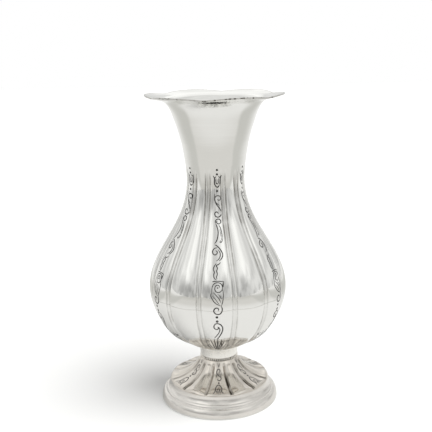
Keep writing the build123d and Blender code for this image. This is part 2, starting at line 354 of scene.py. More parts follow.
class Workbench:
    """Makes plain meshes, runs node trees on them and hands the pieces to the frame."""

    OFF_AXIS = 0.01

    @staticmethod
    def clear() -> None:
        """Removes what the start-up file brought."""
        for item in list(bpy.data.objects):
            bpy.data.objects.remove(item)

    @staticmethod
    def add(name: str, data: bpy.types.ID) -> bpy.types.Object:
        """Links a new object to the scene.

        Args:
            name: The object's name.
            data: Its mesh, curve, lamp or camera.

        Returns:
            The object.
        """
        item = bpy.data.objects.new(name, data)
        bpy.context.scene.collection.objects.link(item)
        return item

    @staticmethod
    def run(carrier: bpy.types.Object, tree: bpy.types.NodeTree, sizes: dict[str, object]) -> None:
        """Puts a node tree on an object with the values of its named inputs.

        Args:
            carrier: The object that gets the tree.
            tree: The tree.
            sizes: The value of each input by name.
        """
        modifier = carrier.modifiers.new(tree.name, "NODES")
        modifier.node_group = tree
        for item in tree.interface.items_tree:
            if item.item_type == "SOCKET" and item.in_out == "INPUT" and item.name in sizes:
                modifier[item.identifier] = sizes[item.name]

    @staticmethod
    def bake(carrier: bpy.types.Object, name: str) -> bpy.types.Object:
        """Turns an object and its modifiers into a plain mesh piece.

        Args:
            carrier: The object, which is removed.
            name: The piece's name.

        Returns:
            The piece, at the origin.
        """
        bpy.context.view_layer.update()
        graph = bpy.context.evaluated_depsgraph_get()
        shaped = carrier.evaluated_get(graph)
        mesh = bpy.data.meshes.new_from_object(shaped, preserve_all_data_layers=True, depsgraph=graph)
        mesh.name = name
        bpy.data.objects.remove(carrier)
        return Workbench.add(name, mesh)

    @staticmethod
    def rings(name: str, points: np.ndarray, sharp_deg: float = 40.0) -> bpy.types.Object:
        """Closes a grid of points, section by bearing, into a ring-shaped mesh.

        Args:
            name: The piece's name.
            points: The points, in metres, by place on the section, bearing and axis. The section runs up
                outside.
            sharp_deg: The fold from which an edge stays sharp.

        Returns:
            The piece.
        """
        rows, columns = points.shape[:2]
        i, j = np.meshgrid(np.arange(rows), np.arange(columns), indexing="ij")
        up, on = (i + 1) % rows, (j + 1) % columns
        faces = np.stack([i * columns + j, i * columns + on, up * columns + on, up * columns + j], -1)
        mesh = bpy.data.meshes.new(name)
        mesh.from_pydata(points.reshape(-1, 3).tolist(), [], faces.reshape(-1, 4).tolist())
        mesh.shade_smooth()
        mesh.set_sharp_from_angle(angle=math.radians(sharp_deg))
        return Workbench.add(name, mesh)

    @staticmethod
    def lathe(name: str, section: Sequence[Point], columns: int = 192) -> bpy.types.Object:
        """Turns a closed section about the axis.

        Args:
            name: The piece's name.
            section: Radius and level of each point, up the outside and down the inside.
            columns: The number of bearings.

        Returns:
            The piece.
        """
        outline = np.array(section)
        return Workbench.rings(name, placed(outline[:, :1], outline[:, 1:], bearings(columns)))

    @staticmethod
    def curve(name: str, points: np.ndarray, closed: bool = False) -> bpy.types.Object:
        """Makes a curve object.

        Args:
            name: Its name.
            points: The points that it runs through, in metres.
            closed: Whether it comes back to its start.

        Returns:
            The object.
        """
        data = bpy.data.curves.new(name, "CURVE")
        data.dimensions = "3D"
        spline = data.splines.new("POLY")
        spline.points.add(len(points) - 1)
        spline.points.foreach_set("co", np.hstack([points, np.ones((len(points), 1))]).ravel())
        spline.use_cyclic_u = closed
        return Workbench.add(name, data)

    @staticmethod
    def dull_inside(piece: bpy.types.Object, below: float, fade: float = 20.0, gain: float = 4.0) -> None:
        """Marks the inside of a hollow piece, which polish doesn't reach.

        Args:
            piece: The piece.
            below: The level above which the inside is polished too.
            fade: The height over which the polish ends there.
            gain: How quickly the mark sets in as the sheet turns inwards.
        """
        mesh = piece.data
        spots, ways = (np.empty(3 * len(mesh.vertices)) for _ in range(2))
        mesh.vertices.foreach_get("co", spots)
        mesh.vertices.foreach_get("normal", ways)
        x, y, level = (spots.reshape(-1, 3) / MM).T
        way_x, way_y, way_up = ways.reshape(-1, 3).T
        radius = np.hypot(x, y) + Workbench.OFF_AXIS
        inward = -(x * way_x + y * way_y) / radius + np.maximum(way_up, 0.0)
        deep = np.clip((below - level) / fade, 0.0, 1.0)
        mark = mesh.attributes.new(INSIDE, "FLOAT", "POINT")
        mark.data.foreach_set("value", (np.clip(gain * inward, 0.0, 1.0) * deep).astype(np.float32))

    @staticmethod
    def hand_in(piece: bpy.types.Object, material: bpy.types.Material, slot: Slot, *nodes: str) -> None:
        """Dresses a finished piece and gives it to the frame.

        Args:
            piece: The piece.
            material: Its finish.
            slot: The record's finish; not used.
            nodes: The solids that it stands for.
        """
        piece.data.materials.clear()
        piece.data.materials.append(material)
        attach(piece, RIDES_ON)
        if nodes:
            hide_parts(*nodes)
        piece.data.calc_loop_triangles()
        LOG.info("%s: %d triangles", piece.name, len(piece.data.loop_triangles))


def between(low: float, high: float, share: float) -> float:
    """The value that lies a share of the way from low to high."""
    return low + (high - low) * share


def bearings(count: int) -> np.ndarray:
    """A count of even bearings round the axis, in radians."""
    return np.linspace(0.0, TURN, count, endpoint=False)


def placed(radius: np.ndarray, level: np.ndarray, bearing: np.ndarray) -> np.ndarray:
    """Points in metres, by radius and level in millimetres and bearing in radians."""
    return np.stack([radius * np.cos(bearing), radius * np.sin(bearing), level + 0.0 * bearing], -1) * MM


def bowed(start: Point, end: Point, swell: float, steps: int = 10) -> list[Point]:
    """Points of a shallow arc that swells to the right of its run.

    Args:
        start: Where it starts, which is left out of the points.
        end: Where it ends.
        swell: How far it swells, negative for a hollow.
        steps: The number of points.

    Returns:
        The points.
    """
    run, rise = end[0] - start[0], end[1] - start[1]
    length = math.hypot(run, rise)
    points = []
    for step in range(1, steps + 1):
        share = step / steps
        out = 4.0 * swell * share * (1.0 - share) / length
        points.append((start[0] + run * share + out * rise, start[1] + rise * share - out * run))
    return points


def softened(section: Sequence[Point], radius: float, steps: int = 4, flat_deg: float = 155.0,
             most: float = 0.45) -> list[Point]:
    """Rounds the corners of a closed section.

    Args:
        section: The corners.
        radius: How far from a corner its round starts.
        steps: The number of points on a round.
        flat_deg: The angle between two sides past which their corner is left alone.
        most: The most of a side that a round takes up.

    Returns:
        The rounded section.
    """
    corners = [np.array(point) for point in section]
    points: list[Point] = []
    for before, corner, after in zip([corners[-1]] + corners[:-1], corners, corners[1:] + corners[:1]):
        back, on = before - corner, after - corner
        turn = abs(math.atan2(back[0] * on[1] - back[1] * on[0], float(back @ on)))
        if turn > math.radians(flat_deg):
            points.append((float(corner[0]), float(corner[1])))
            continue
        back_length, on_length = np.linalg.norm(back), np.linalg.norm(on)
        reach = min(radius, most * back_length, most * on_length)
        first = corner + back / back_length * reach
        last = corner + on / on_length * reach
        for step in range(steps + 1):
            share = step / steps
            spot = (1 - share) ** 2 * first + 2 * share * (1 - share) * corner + share ** 2 * last
            points.append((float(spot[0]), float(spot[1])))
    return points


@dataclass(frozen=True)
class Profile:
    """The outline of a raised or spun sheet: radius and level, from its bottom edge to its top edge.

    Attributes:
        knots: The points that the smooth outline passes through.
        lead: Points of a flat floor before it, from the axis out.
        fineness: The number of points on each span.
    """

    knots: tuple[Point, ...]
    lead: tuple[Point, ...] = ()
    fineness: int = 60

    def points(self) -> np.ndarray:
        """Draws the outline as a smooth curve that doesn't bend at its two ends.

        Returns:
            Its points, in millimetres.
        """
        knots = np.array(self.knots)
        spans = np.linalg.norm(np.diff(knots, axis=0), axis=1)
        count = len(knots)
        bend_of = np.eye(count)
        pull = np.zeros((count, 2))
        for i in range(1, count - 1):
            bend_of[i, i - 1:i + 2] = spans[i - 1], 2.0 * (spans[i - 1] + spans[i]), spans[i]
            pull[i] = 6.0 * ((knots[i + 1] - knots[i]) / spans[i] - (knots[i] - knots[i - 1]) / spans[i - 1])
        bend = np.linalg.solve(bend_of, pull)
        pieces = [np.array(self.lead).reshape(-1, 2)]
        for i, span in enumerate(spans):
            on = np.linspace(0.0, span, self.fineness, endpoint=False)[:, None]
            left = span - on
            pieces.append(bend[i] * left ** 3 / (6 * span) + bend[i + 1] * on ** 3 / (6 * span)
                          + (knots[i] / span - bend[i] * span / 6) * left
                          + (knots[i + 1] / span - bend[i + 1] * span / 6) * on)
        return np.vstack([*pieces, knots[-1:]])

    def arcs(self) -> np.ndarray:
        """The length along the outline at each of its points."""
        return np.concatenate([[0.0], np.cumsum(np.linalg.norm(np.diff(self.points(), axis=0), axis=1))])

    def arc_at(self, along: Along, value: float) -> float:
        """The length along the outline where it has a level or a radius.

        Args:
            along: Which of the two the value is.
            value: The level or radius.

        Returns:
            The length.
        """
        line, arcs = self.points()[:, along.value], self.arcs()
        if line[-1] < line[0]:
            line, arcs = line[::-1], arcs[::-1]
        return float(np.interp(value, line, arcs))

    def curve(self, name: str) -> bpy.types.Object:
        """A helper curve of the outline in the plane of X and Z, in metres."""
        line = self.points()
        return Workbench.curve(name, placed(line[:, 0], line[:, 1], np.zeros(len(line))))


@dataclass(frozen=True)
class LobeForm:
    """How the lobes of a sheet swell, and the strip that lies between each two.

    Attributes:
        lobe_count: The number of lobes.
        rise: How far a lobe's crown stands over its edges.
        strip_width: The width of a strip.
        strip_rise: How far a strip's middle stands over its edges, negative for a flute.
        strip_power: The shape of a strip across.
        groove_depth: The depth of the line where a lobe and a strip meet.
        groove_width: Half the width of that line.
        low_level: The level where the lobes start.
        low_fade: The height over which they grow.
        high_level: The level where they end.
        high_fade: The height over which they die out.
        full_radius: The radius at which they have their full rise.
        pillow: The height of a cushion on every second lobe.
        pillow_edge: How far the cushion stays from the sheet's lower edge.
        strip_tarnish: How dark the middle of a strip is painted, as painted shade with some tarnish.
        line_tarnish: How dark the line beside it is.
    """

    lobe_count: int
    rise: float
    strip_width: float
    strip_rise: float
    strip_power: Between
    groove_depth: float
    groove_width: float
    low_level: float
    low_fade: float
    high_level: float
    high_fade: float
    full_radius: float
    pillow: float = 0.0
    pillow_edge: float = 3.0
    strip_tarnish: float = 0.0
    line_tarnish: float = 1.0

    PLAIN = ("lobe_count", "strip_power", "strip_tarnish", "line_tarnish")
    LEAST_GIRTH = 0.5 * MM
    STRIP_LIMIT = 0.225
    CUSHION_SIDE = 0.86
    CUSHION_TOP = 0.45
    CUSHION_START = 0.3
    DARKEST = 1.3

    @classmethod
    def inputs(cls) -> dict[str, str]:
        """The type of each of these sizes as a node tree's input, by name."""
        return {size.name.replace("_", " ").title(): FLOAT for size in fields(cls)}

    def sizes(self) -> dict[str, float]:
        """Gives the sizes to a node tree.

        Returns:
            The value of each input by name: counts, powers and shares as they are, and lengths in metres.
        """
        values = []
        for size in fields(self):
            value = getattr(self, size.name)
            number = value.value if isinstance(value, Between) else value
            values.append(float(number) if size.name in self.PLAIN else number * MM)
        return dict(zip(self.inputs(), values))

    @classmethod
    def girth(cls, g: Graph, spot: bpy.types.NodeSocket) -> bpy.types.NodeSocket:
        """Lays the radius of a spot of the outline, kept off the axis, and returns its socket."""
        return g.most(g.split(spot)[0], cls.LEAST_GIRTH)

    @classmethod
    def strip_half(cls, g: Graph, girth: object, pitch: object) -> bpy.types.NodeSocket:
        """Lays half the angle of a strip, and returns its socket."""
        return g.least(g.over(g.times(g.given["Strip Width"], 0.5), girth), g.times(pitch, cls.STRIP_LIMIT))

    @classmethod
    def surface(cls, g: Graph, place: dict[str, object]) -> bpy.types.NodeOutputs:
        """Lays the rule in a tree that has these sizes as inputs, and returns its outputs."""
        return g.use(cls.rule(), {**place, **{size: g.given[size] for size in cls.inputs()}})

    @classmethod
    @cache
    def rule(cls) -> bpy.types.NodeTree:
        """The node group that gives a point of a lobed sheet from its place along and round it.

        Returns:
            The group, built once.
        """
        place = {"Profile": GEOMETRY, "Arc": FLOAT, "Bearing": FLOAT, "Lift": FLOAT}
        g = Graph.group("Lobed Surface", GEOMETRY_TREE, {**place, **cls.inputs()},
                        {"Position": VECTOR, "Crease": FLOAT})
        at = g.given
        spot = g.trace(at["Profile"], at["Arc"])
        radius, _, level = g.split(spot["Position"])
        girth = cls.girth(g, spot["Position"])
        pitch = g.over(TURN, at["Lobe Count"])
        half = g.times(pitch, 0.5)
        nearest = g.math("ROUND", g.over(at["Bearing"], pitch))
        aside = g.math("ABSOLUTE", g.minus(at["Bearing"], g.times(nearest, pitch)))
        strip_half = cls.strip_half(g, girth, pitch)
        lobe_half = g.minus(half, strip_half)
        share = g.least(g.over(aside, lobe_half), 1.0)
        strip_share = g.most(g.least(g.over(g.minus(half, aside), strip_half), 1.0), 0.0)
        low = g.ramp(level, at["Low Level"], g.plus(at["Low Level"], at["Low Fade"]))
        high = g.ramp(level, at["High Level"], g.minus(at["High Level"], at["High Fade"]))
        fade = g.times(low, high)
        fall = g.times(at["Rise"], g.times(fade, g.over(radius, at["Full Radius"])))
        lobe = g.times(share, share, g.times(fall, -1.0))
        across = g.minus(1.0, g.math("POWER", strip_share, at["Strip Power"]))
        strip = g.minus(g.times(at["Strip Rise"], fade, across), fall)
        on_strip = g.math("GREATER_THAN", aside, lobe_half)
        edge = g.times(g.math("ABSOLUTE", g.minus(aside, lobe_half)), girth)
        off_line = g.least(g.over(edge, at["Groove Width"]), 1.0)
        hollow = g.minus(1.0, g.times(off_line, off_line))
        groove = g.times(hollow, hollow, fade)
        height = g.minus(g.choose(on_strip, strip, lobe), g.times(at["Groove Depth"], groove))
        odd = g.math("FLOORED_MODULO", g.math("ABSOLUTE", nearest), 2.0)
        crown = g.ramp(share, cls.CUSHION_SIDE, cls.CUSHION_TOP)
        rounding = g.times(share, share, at["Pillow Edge"])
        start = g.times(at["Pillow Edge"], cls.CUSHION_START)
        ends = g.ramp(g.minus(at["Arc"], rounding), start, at["Pillow Edge"])
        cushion = g.times(g.times(odd, crown), g.times(ends, fade))
        out = g.plus(height, g.times(at["Pillow"], cushion), at["Lift"])
        slope_out, _, slope_up = g.split(spot["Tangent"])
        reach = g.plus(radius, g.times(out, slope_up))
        turn = g.plus(at["Bearing"], FRONT)
        g.feed(g.result["Position"], g.join(g.times(reach, g.math("COSINE", turn)),
                                            g.times(reach, g.math("SINE", turn)),
                                            g.minus(level, g.times(out, slope_out))))
        # The middle of each strip is painted darker: painted shade, with some tarnish.
        dark = g.times(g.minus(1.0, strip_share), on_strip, fade, at["Strip Tarnish"])
        narrow = g.least(g.math("SQRT", g.over(at["Full Radius"], girth)), cls.DARKEST)
        tarnish_and_painted_shade = g.times(g.most(g.times(groove, at["Line Tarnish"]), dark), narrow)
        g.feed(g.result["Crease"], g.least(tarnish_and_painted_shade, 1.0))
        return g.tree


@dataclass
class LobedSheet:
    """A raised sheet of lobes, with columns of faces that follow the lines between the lobes.

    Attributes:
        name: The piece's name.
        profile: The outline of the lobes' crowns.
        form: The lobes.
        arc_from: The length along the outline where the sheet starts.
        arc_to: The length where it ends.
        rows: The number of rows of points.
        wall: The sheet's thickness.
        lobe_columns: The number of columns of faces on a lobe.
        strip_columns: The number on a strip.
        edge: How far the sheet's edges are filed round, 0 for not at all.
    """

    name: str
    profile: Profile
    form: LobeForm
    arc_from: float
    arc_to: float
    rows: int
    wall: float
    lobe_columns: int = 18
    strip_columns: int = 8
    edge: float = 0.12

    SHARP_DEG = 62.0
    WELD = 0.004 * MM
    FLOOR_GUARD = 0.25

    @staticmethod
    @cache
    def tree() -> bpy.types.NodeTree:
        """The node tree that raises the sheet.

        Returns:
            The tree, built once.
        """
        sizes = {"Outline": OBJECT, "Arc From": FLOAT, "Arc To": FLOAT, "Rows": INTEGER,
                 "Lobe Columns": INTEGER, "Strip Columns": INTEGER}
        g = Graph.maker("Lobed Sheet", {**sizes, **LobeForm.inputs()})
        at = g.given
        outline = g.shape_of(at["Outline"])
        columns = g.plus(at["Lobe Columns"], at["Strip Columns"])
        grid = g.put("GeometryNodeMeshGrid", {"Size X": 1.0, "Size Y": 1.0, "Vertices Y": at["Rows"],
                                              "Vertices X": g.plus(g.times(columns, at["Lobe Count"]), 1.0)})
        spot = g.split(g.put("GeometryNodeInputPosition"))
        column = g.math("ROUND", g.times(g.plus(spot[0], 0.5), at["Lobe Count"], columns))
        lobe = g.math("FLOOR", g.over(g.plus(column, LobedSheet.FLOOR_GUARD), columns))
        part = g.minus(g.over(column, columns), lobe)
        run = g.minus(at["Arc To"], at["Arc From"])
        arc = g.plus(at["Arc From"], g.times(g.plus(spot[1], 0.5), run))
        girth = LobeForm.girth(g, g.trace(outline, arc)["Position"])
        pitch = g.over(TURN, at["Lobe Count"])
        strip_half = LobeForm.strip_half(g, girth, pitch)
        strip_part = g.over(g.times(at["Strip Columns"], 0.5), columns)

        def eased(way: bpy.types.NodeSocket) -> bpy.types.NodeSocket:
            """Lays the angle from a strip's middle, finer near its edge, and returns its socket."""
            return g.times(strip_half, g.math("SINE", g.times(g.over(way, strip_part), TURN / 4.0)))

        far_part = g.minus(1.0, part)
        near, far = eased(part), g.minus(pitch, eased(far_part))
        way = g.over(g.minus(part, strip_part), g.minus(1.0, g.times(strip_part, 2.0)))
        wave = g.minus(0.5, g.times(g.math("COSINE", g.times(way, math.pi)), 0.5))
        middle = g.plus(strip_half, g.times(g.minus(pitch, g.times(strip_half, 2.0)), wave))
        angle = g.choose(g.math("LESS_THAN", part, strip_part), near, middle)
        angle = g.choose(g.math("LESS_THAN", far_part, strip_part), far, angle)
        bearing = g.plus(g.times(g.minus(lobe, 0.5), pitch), angle)
        surface = LobeForm.surface(g, {"Profile": outline, "Arc": arc, "Bearing": bearing})
        kept = g.put("GeometryNodeStoreNamedAttribute",
                     {"Geometry": grid, "Name": CREASE, "Value": surface["Crease"]},
                     data_type="FLOAT", domain="POINT")
        moved = g.put("GeometryNodeSetPosition", {"Geometry": kept, "Position": surface["Position"]})
        closed = g.put("GeometryNodeMergeByDistance", {"Geometry": moved, "Distance": LobedSheet.WELD})
        return g.dress(g.put("GeometryNodeSetShadeSmooth", {"Geometry": closed}))

    def build(self, material: bpy.types.Material) -> bpy.types.Object:
        """Raises the sheet and gives it its wall.

        Args:
            material: The sheet's finish.

        Returns:
            The piece.
        """
        outline = self.profile.curve(f"{self.name}_outline")
        carrier = Workbench.add(f"{self.name}_carrier", bpy.data.meshes.new(self.name))
        Workbench.run(carrier, self.tree(),
                      {"Outline": outline, "Arc From": self.arc_from * MM, "Arc To": self.arc_to * MM,
                       "Rows": self.rows, "Lobe Columns": self.lobe_columns,
                       "Strip Columns": self.strip_columns, **self.form.sizes(), "Finish": material})
        wall = carrier.modifiers.new("Sheet", "SOLIDIFY")
        wall.thickness = self.wall * MM
        wall.offset = -1.0
        if self.edge:
            round_off = carrier.modifiers.new("Filed Edge", "BEVEL")
            round_off.width = self.edge * MM
            round_off.segments = 2
            round_off.limit_method = "ANGLE"
            round_off.angle_limit = math.radians(self.SHARP_DEG)
        piece = Workbench.bake(carrier, self.name)
        piece.data.set_sharp_from_angle(angle=math.radians(self.SHARP_DEG))
        bpy.data.objects.remove(outline)
        return piece


@dataclass(frozen=True)
class Stroke:
    """One cut of the graver through points: millimetres across the panel, and a level or radius."""

    points: tuple[Point, ...]
    width: float = 0.62
    taper: float = 0.5

    closed = False

    def knots(self) -> list[Knot]:
        """Gives the cut, which narrows at its two ends.

        Returns:
            The place across, the level or radius, the length past it and the width at each point.
        """
        last = len(self.points) - 1
        ends = [1.0 if 0 < i < last else self.taper for i in range(last + 1)]
        return [(across, value, 0.0, self.width * end) for (across, value), end in zip(self.points, ends)]


@dataclass(frozen=True)
class Dot:
    """A punched dot: millimetres across the panel, a level or radius, and its own radius."""

    across: float
    value: float
    radius: float = 0.75

    closed = True
    SIDES = 6
    OVERLAP = 1.02

    def knots(self) -> list[Knot]:
        """Gives the dot as a tight ring, whose cut meets itself in the middle.

        Returns:
            The place across, the level or radius, the length past it and the width at each point.
        """
        reach = 0.5 * self.radius
        turns = [step * TURN / self.SIDES for step in range(self.SIDES)]
        return [(self.across + reach * math.cos(turn), self.value, reach * math.sin(turn),
                 self.OVERLAP * self.radius) for turn in turns]


@dataclass(frozen=True)
class Curl:
    """A scroll that winds in to an eye.

    Attributes:
        across: Where its middle is across the panel.
        value: The middle's level or radius.
        radius: The scroll's radius at its start.
        start_deg: The bearing of its start from the panel's right.
        sweep_deg: How far it winds, negative for clockwise.
        eye: The radius at its end, as a share.
        width: The width of the cut.
    """

    across: float
    value: float
    radius: float
    start_deg: float
    sweep_deg: float
    eye: float = 0.35
    width: float = 0.62

    closed = False
    LEAST_STEPS = 4
    STEP_DEG = 40.0
    WINDING = 1.4
    END_WIDTH = 0.75

    def knots(self) -> list[Knot]:
        """Gives the scroll, which narrows towards its eye.

        Returns:
            The place across, the level or radius, the length past it and the width at each point.
        """
        steps = max(self.LEAST_STEPS, int(abs(self.sweep_deg) / self.STEP_DEG))
        knots = []
        for step in range(steps + 1):
            share = step / steps
            turn = math.radians(self.start_deg + self.sweep_deg * share)
            reach = self.radius * between(1.0, self.eye, share ** self.WINDING)
            width = self.width * between(1.0, self.END_WIDTH, share)
            knots.append((self.across + reach * math.cos(turn), self.value, reach * math.sin(turn), width))
        return knots


Mark = Stroke | Dot | Curl


@dataclass
class ChasedPanels:
    """One scroll pattern, repeated round the vase on every second lobe.

    Attributes:
        name: The piece's name.
        profile: The outline of the sheet.
        form: The sheet's lobes.
        along: What the second number of a mark is.
        marks: The pattern.
        lean: How far the pattern leans to the right on each millimetre up.
        lean_from: The length along the outline where it is in the middle.
        lift: How far the cuts' faces stand over the sheet, to show on it.
        depth: How far they reach into it.
        step: The length of a cut's faces.
        bold: How much wider than written the cuts are.
    """

    name: str
    profile: Profile
    form: LobeForm
    along: Along
    marks: tuple[Mark, ...]
    lean: float = 0.0
    lean_from: float = 0.0
    lift: float = 0.035
    depth: float = 0.06
    step: float = 0.34
    bold: float = 1.3

    SMOOTHNESS = 8

    @staticmethod
    @cache
    def tree() -> bpy.types.NodeTree:
        """The node tree that cuts flat lines, wraps them on the lobed sheet and repeats them.

        Returns:
            The tree, built once.
        """
        sizes = {"Outline": OBJECT, "Panels": INTEGER, "Step": FLOAT, "Cut Lift": FLOAT, "Cut Depth": FLOAT}
        g = Graph.maker("Chased Line", {**sizes, **LobeForm.inputs()})
        at = g.given
        outline = g.shape_of(at["Outline"])
        even = g.put("GeometryNodeResampleCurve", {"Curve": at["Geometry"], "Length": at["Step"]},
                     mode="LENGTH")
        level = g.put("GeometryNodeSetCurveNormal", {"Curve": even}, mode="Z_UP")
        section = g.put("GeometryNodeCurvePrimitiveQuadrilateral",
                        {"Bottom Width": 0.86, "Top Width": 1.0, "Height": 0.3, "Offset": 0.0},
                        mode="TRAPEZOID")
        cut = g.put("GeometryNodeCurveToMesh", {"Curve": level, "Profile Curve": section, "Fill Caps": True,
                                                "Scale": g.put("GeometryNodeInputRadius")})
        spot = g.split(g.put("GeometryNodeInputPosition"))
        girth = LobeForm.girth(g, g.trace(outline, spot[1])["Position"])
        lift = g.choose(g.math("GREATER_THAN", spot[2], 0.0), at["Cut Lift"], g.times(at["Cut Depth"], -1.0))
        surface = LobeForm.surface(g, {"Profile": outline, "Arc": spot[1], "Bearing": g.over(spot[0], girth),
                                       "Lift": lift})
        wrapped = g.put("GeometryNodeSetPosition", {"Geometry": cut, "Position": surface["Position"]})
        places = g.put("GeometryNodePoints", {"Count": at["Panels"]})
        return g.dress(g.put("GeometryNodeInstanceOnPoints", {"Points": places, "Instance": wrapped,
                                                              "Rotation": g.evenly(at["Panels"])}))

    def flat_lines(self) -> bpy.types.Object:
        """Draws the pattern on the flattened sheet.

        Returns:
            An object of smooth curves, whose radius is the cut's width.
        """
        data = bpy.data.curves.new(f"{self.name}_lines", "CURVE")
        data.dimensions = "3D"
        for mark in self.marks:
            knots = mark.knots()
            spline = data.splines.new("BEZIER")
            spline.bezier_points.add(len(knots) - 1)
            spline.resolution_u = self.SMOOTHNESS
            spline.use_cyclic_u = mark.closed
            for point, (across, value, past, width) in zip(spline.bezier_points, knots):
                arc = self.profile.arc_at(self.along, value) + past
                lean = self.lean * (arc - self.lean_from)
                point.co = ((across + lean) * MM, arc * MM, 0.0)
                point.radius = width * self.bold * MM
                point.handle_left_type = point.handle_right_type = "AUTO"
        return Workbench.add(f"{self.name}_lines", data)

    def build(self, material: bpy.types.Material) -> bpy.types.Object:
        """Cuts the pattern on every second lobe.

        Args:
            material: The finish inside the cuts.

        Returns:
            The piece.
        """
        outline = self.profile.curve(f"{self.name}_outline")
        carrier = self.flat_lines()
        Workbench.run(carrier, self.tree(),
                      {"Outline": outline, "Panels": self.form.lobe_count // 2, "Step": self.step * MM,
                       "Cut Lift": self.lift * MM, "Cut Depth": self.depth * MM, **self.form.sizes(),
                       "Finish": material})
        piece = Workbench.bake(carrier, self.name)
        bpy.data.objects.remove(outline)
        return piece


class Effects:
    """Shader groups that more than one finish uses."""

    FINER = 4.6

    @staticmethod
    @cache
    def planishing() -> bpy.types.NodeTree:
        """The group for the slight waviness that hammering, polishing and spinning leave.

        Returns:
            The group, built once.
        """
        g = Graph.group("Planishing", SHADER_TREE,
                        {"Hammer Size": FLOAT, "Fine Share": FLOAT, "Spin Share": FLOAT}, {"Height": FLOAT})
        at = g.given
        place = g.place()
        scale = g.over(1.0, at["Hammer Size"])
        broad = g.noise(place, scale, detail=1.0, roughness=0.4)
        fine = g.noise(place, g.times(scale, Effects.FINER), detail=2.0)
        level = g.put("ShaderNodeMapping", {"Vector": place, "Scale": (0.06, 0.06, 1.0)})
        turned = g.noise(level, scale=330.0, detail=3.0)
        g.feed(g.result["Height"], g.plus(broad, g.times(fine, at["Fine Share"]),
                                          g.times(turned, at["Spin Share"])))
        return g.tree

    @staticmethod
    @cache
    def handling() -> bpy.types.NodeTree:
        """The group for fine polishing lines and smudges.

        Returns:
            The group, built once.
        """
        g = Graph.group("Handling", SHADER_TREE, {"Polish": FLOAT, "Smudge": FLOAT}, {"Roughness": FLOAT})
        place = g.place()
        drawn = g.put("ShaderNodeMapping",
                      {"Vector": place, "Rotation": (0.2, 0.5, 0.3), "Scale": (1.0, 1.0, 0.06)})
        lines = g.ramp(g.noise(drawn, scale=2600.0, detail=2.0), low=0.52, high=0.75, end=0.05)
        smudge = g.ramp(g.noise(place, scale=34.0, detail=4.0, roughness=0.6), low=0.46, high=0.72)
        g.feed(g.result["Roughness"], g.plus(g.given["Polish"], lines, g.times(smudge, g.given["Smudge"])))
        return g.tree

    @staticmethod
    @cache
    def tarnish() -> bpy.types.NodeTree:
        """The group that darkens what its mask marks: tarnish in creases, where polish doesn't reach, and
        painted shade with tarnish along the strips. It adds spots and a faint film.

        Returns:
            The group, built once.
        """
        g = Graph.group("Crease Tarnish", SHADER_TREE,
                        {"Mask": FLOAT, "Amount": FLOAT, "Clean": COLOUR, "Dark": COLOUR, "Bloom": FLOAT,
                         "Spots": FLOAT, "Spot Size": FLOAT},
                        {"Colour": COLOUR, "Dullness": FLOAT})
        at = g.given
        place = g.place()
        patch = g.ramp(g.noise(place, scale=120.0, detail=3.0, roughness=0.6), 0.3, 0.62, start=0.4)
        stretch = g.ramp(g.noise(place, scale=34.0, detail=1.0), 0.36, 0.62, start=0.3)
        share = g.times(g.ramp(at["Mask"], 0.05, 1.0), g.times(patch, stretch), at["Amount"])
        speck = g.ramp(g.noise(place, g.over(1.0, at["Spot Size"]), detail=2.0), low=0.54, high=0.68)
        share = g.most(share, g.times(speck, at["Spots"]))
        film = g.ramp(g.noise(place, scale=22.0, detail=3.0), low=0.4, high=0.75)
        shown = g.most(share, g.times(film, at["Bloom"]))
        g.feed(g.result["Colour"], g.tint(shown, at["Clean"], at["Dark"]))
        g.feed(g.result["Dullness"], share)
        return g.tree


@dataclass(frozen=True)
class Silver:
    """Polished sheet or wire silver.

    Attributes:
        name: The finish's name.
        clean: The metal's colour.
        dark: The colour of tarnish in creases.
        polish: The roughness of a clean place.
        smudge: The roughness that smudges add.
        hammer: The size of the hammer's waves.
        wave: The depth of the waves.
        fine: The share of finer waves.
        spin: The share of the level lines that spinning leaves.
        tarnish: How much of the crease colour shows.
        bloom: How much of it shows as a faint film elsewhere.
        spots: How much of it shows in small spots.
        spot_size: The size of the spots.
        unpolished: The colour of the inside, where the piece is hollow.
    """

    name: str
    clean: Colour = (0.888, 0.887, 0.866)
    dark: Colour = (0.17, 0.155, 0.132)
    polish: float = 0.07
    smudge: float = 0.05
    hammer: float = 17.0
    wave: float = 0.13
    fine: float = 0.05
    spin: float = 0.0
    tarnish: float = 0.8
    bloom: float = 0.04
    spots: float = 0.0
    spot_size: float = 5.0
    unpolished: Colour | None = None

    TARNISH_DULLS = 0.25
    INSIDE_DULLS = 0.35
    INSIDE_METAL = 0.4

    def material(self) -> bpy.types.Material:
        """Builds the finish.

        Returns:
            The material.
        """
        g, made = Graph.material(self.name)
        crease = g.use(Effects.tarnish(),
                       {"Mask": g.mark(CREASE), "Amount": self.tarnish, "Clean": self.clean,
                        "Dark": self.dark, "Bloom": self.bloom, "Spots": self.spots,
                        "Spot Size": self.spot_size * MM})
        wear = g.use(Effects.handling(), {"Polish": self.polish, "Smudge": self.smudge})
        waves = g.use(Effects.planishing(), {"Hammer Size": self.hammer * MM, "Fine Share": self.fine,
                                             "Spin Share": self.spin})
        bump = g.put("ShaderNodeBump",
                     {"Strength": 1.0, "Distance": self.wave * MM, "Height": waves["Height"]})
        colour, metal = crease["Colour"], 1.0
        dull = g.times(crease["Dullness"], self.TARNISH_DULLS)
        if self.unpolished:
            inside = g.mark(INSIDE)
            colour = g.tint(inside, colour, self.unpolished)
            metal = g.ramp(inside, 0.0, 1.0, start=1.0, end=self.INSIDE_METAL)
            dull = g.plus(dull, g.times(inside, self.INSIDE_DULLS))
        g.fill(g.tree.nodes["Principled BSDF"], {"Base Color": colour, "Metallic": metal, "Normal": bump,
                                                 "Roughness": g.plus(wear["Roughness"], dull)})
        return made


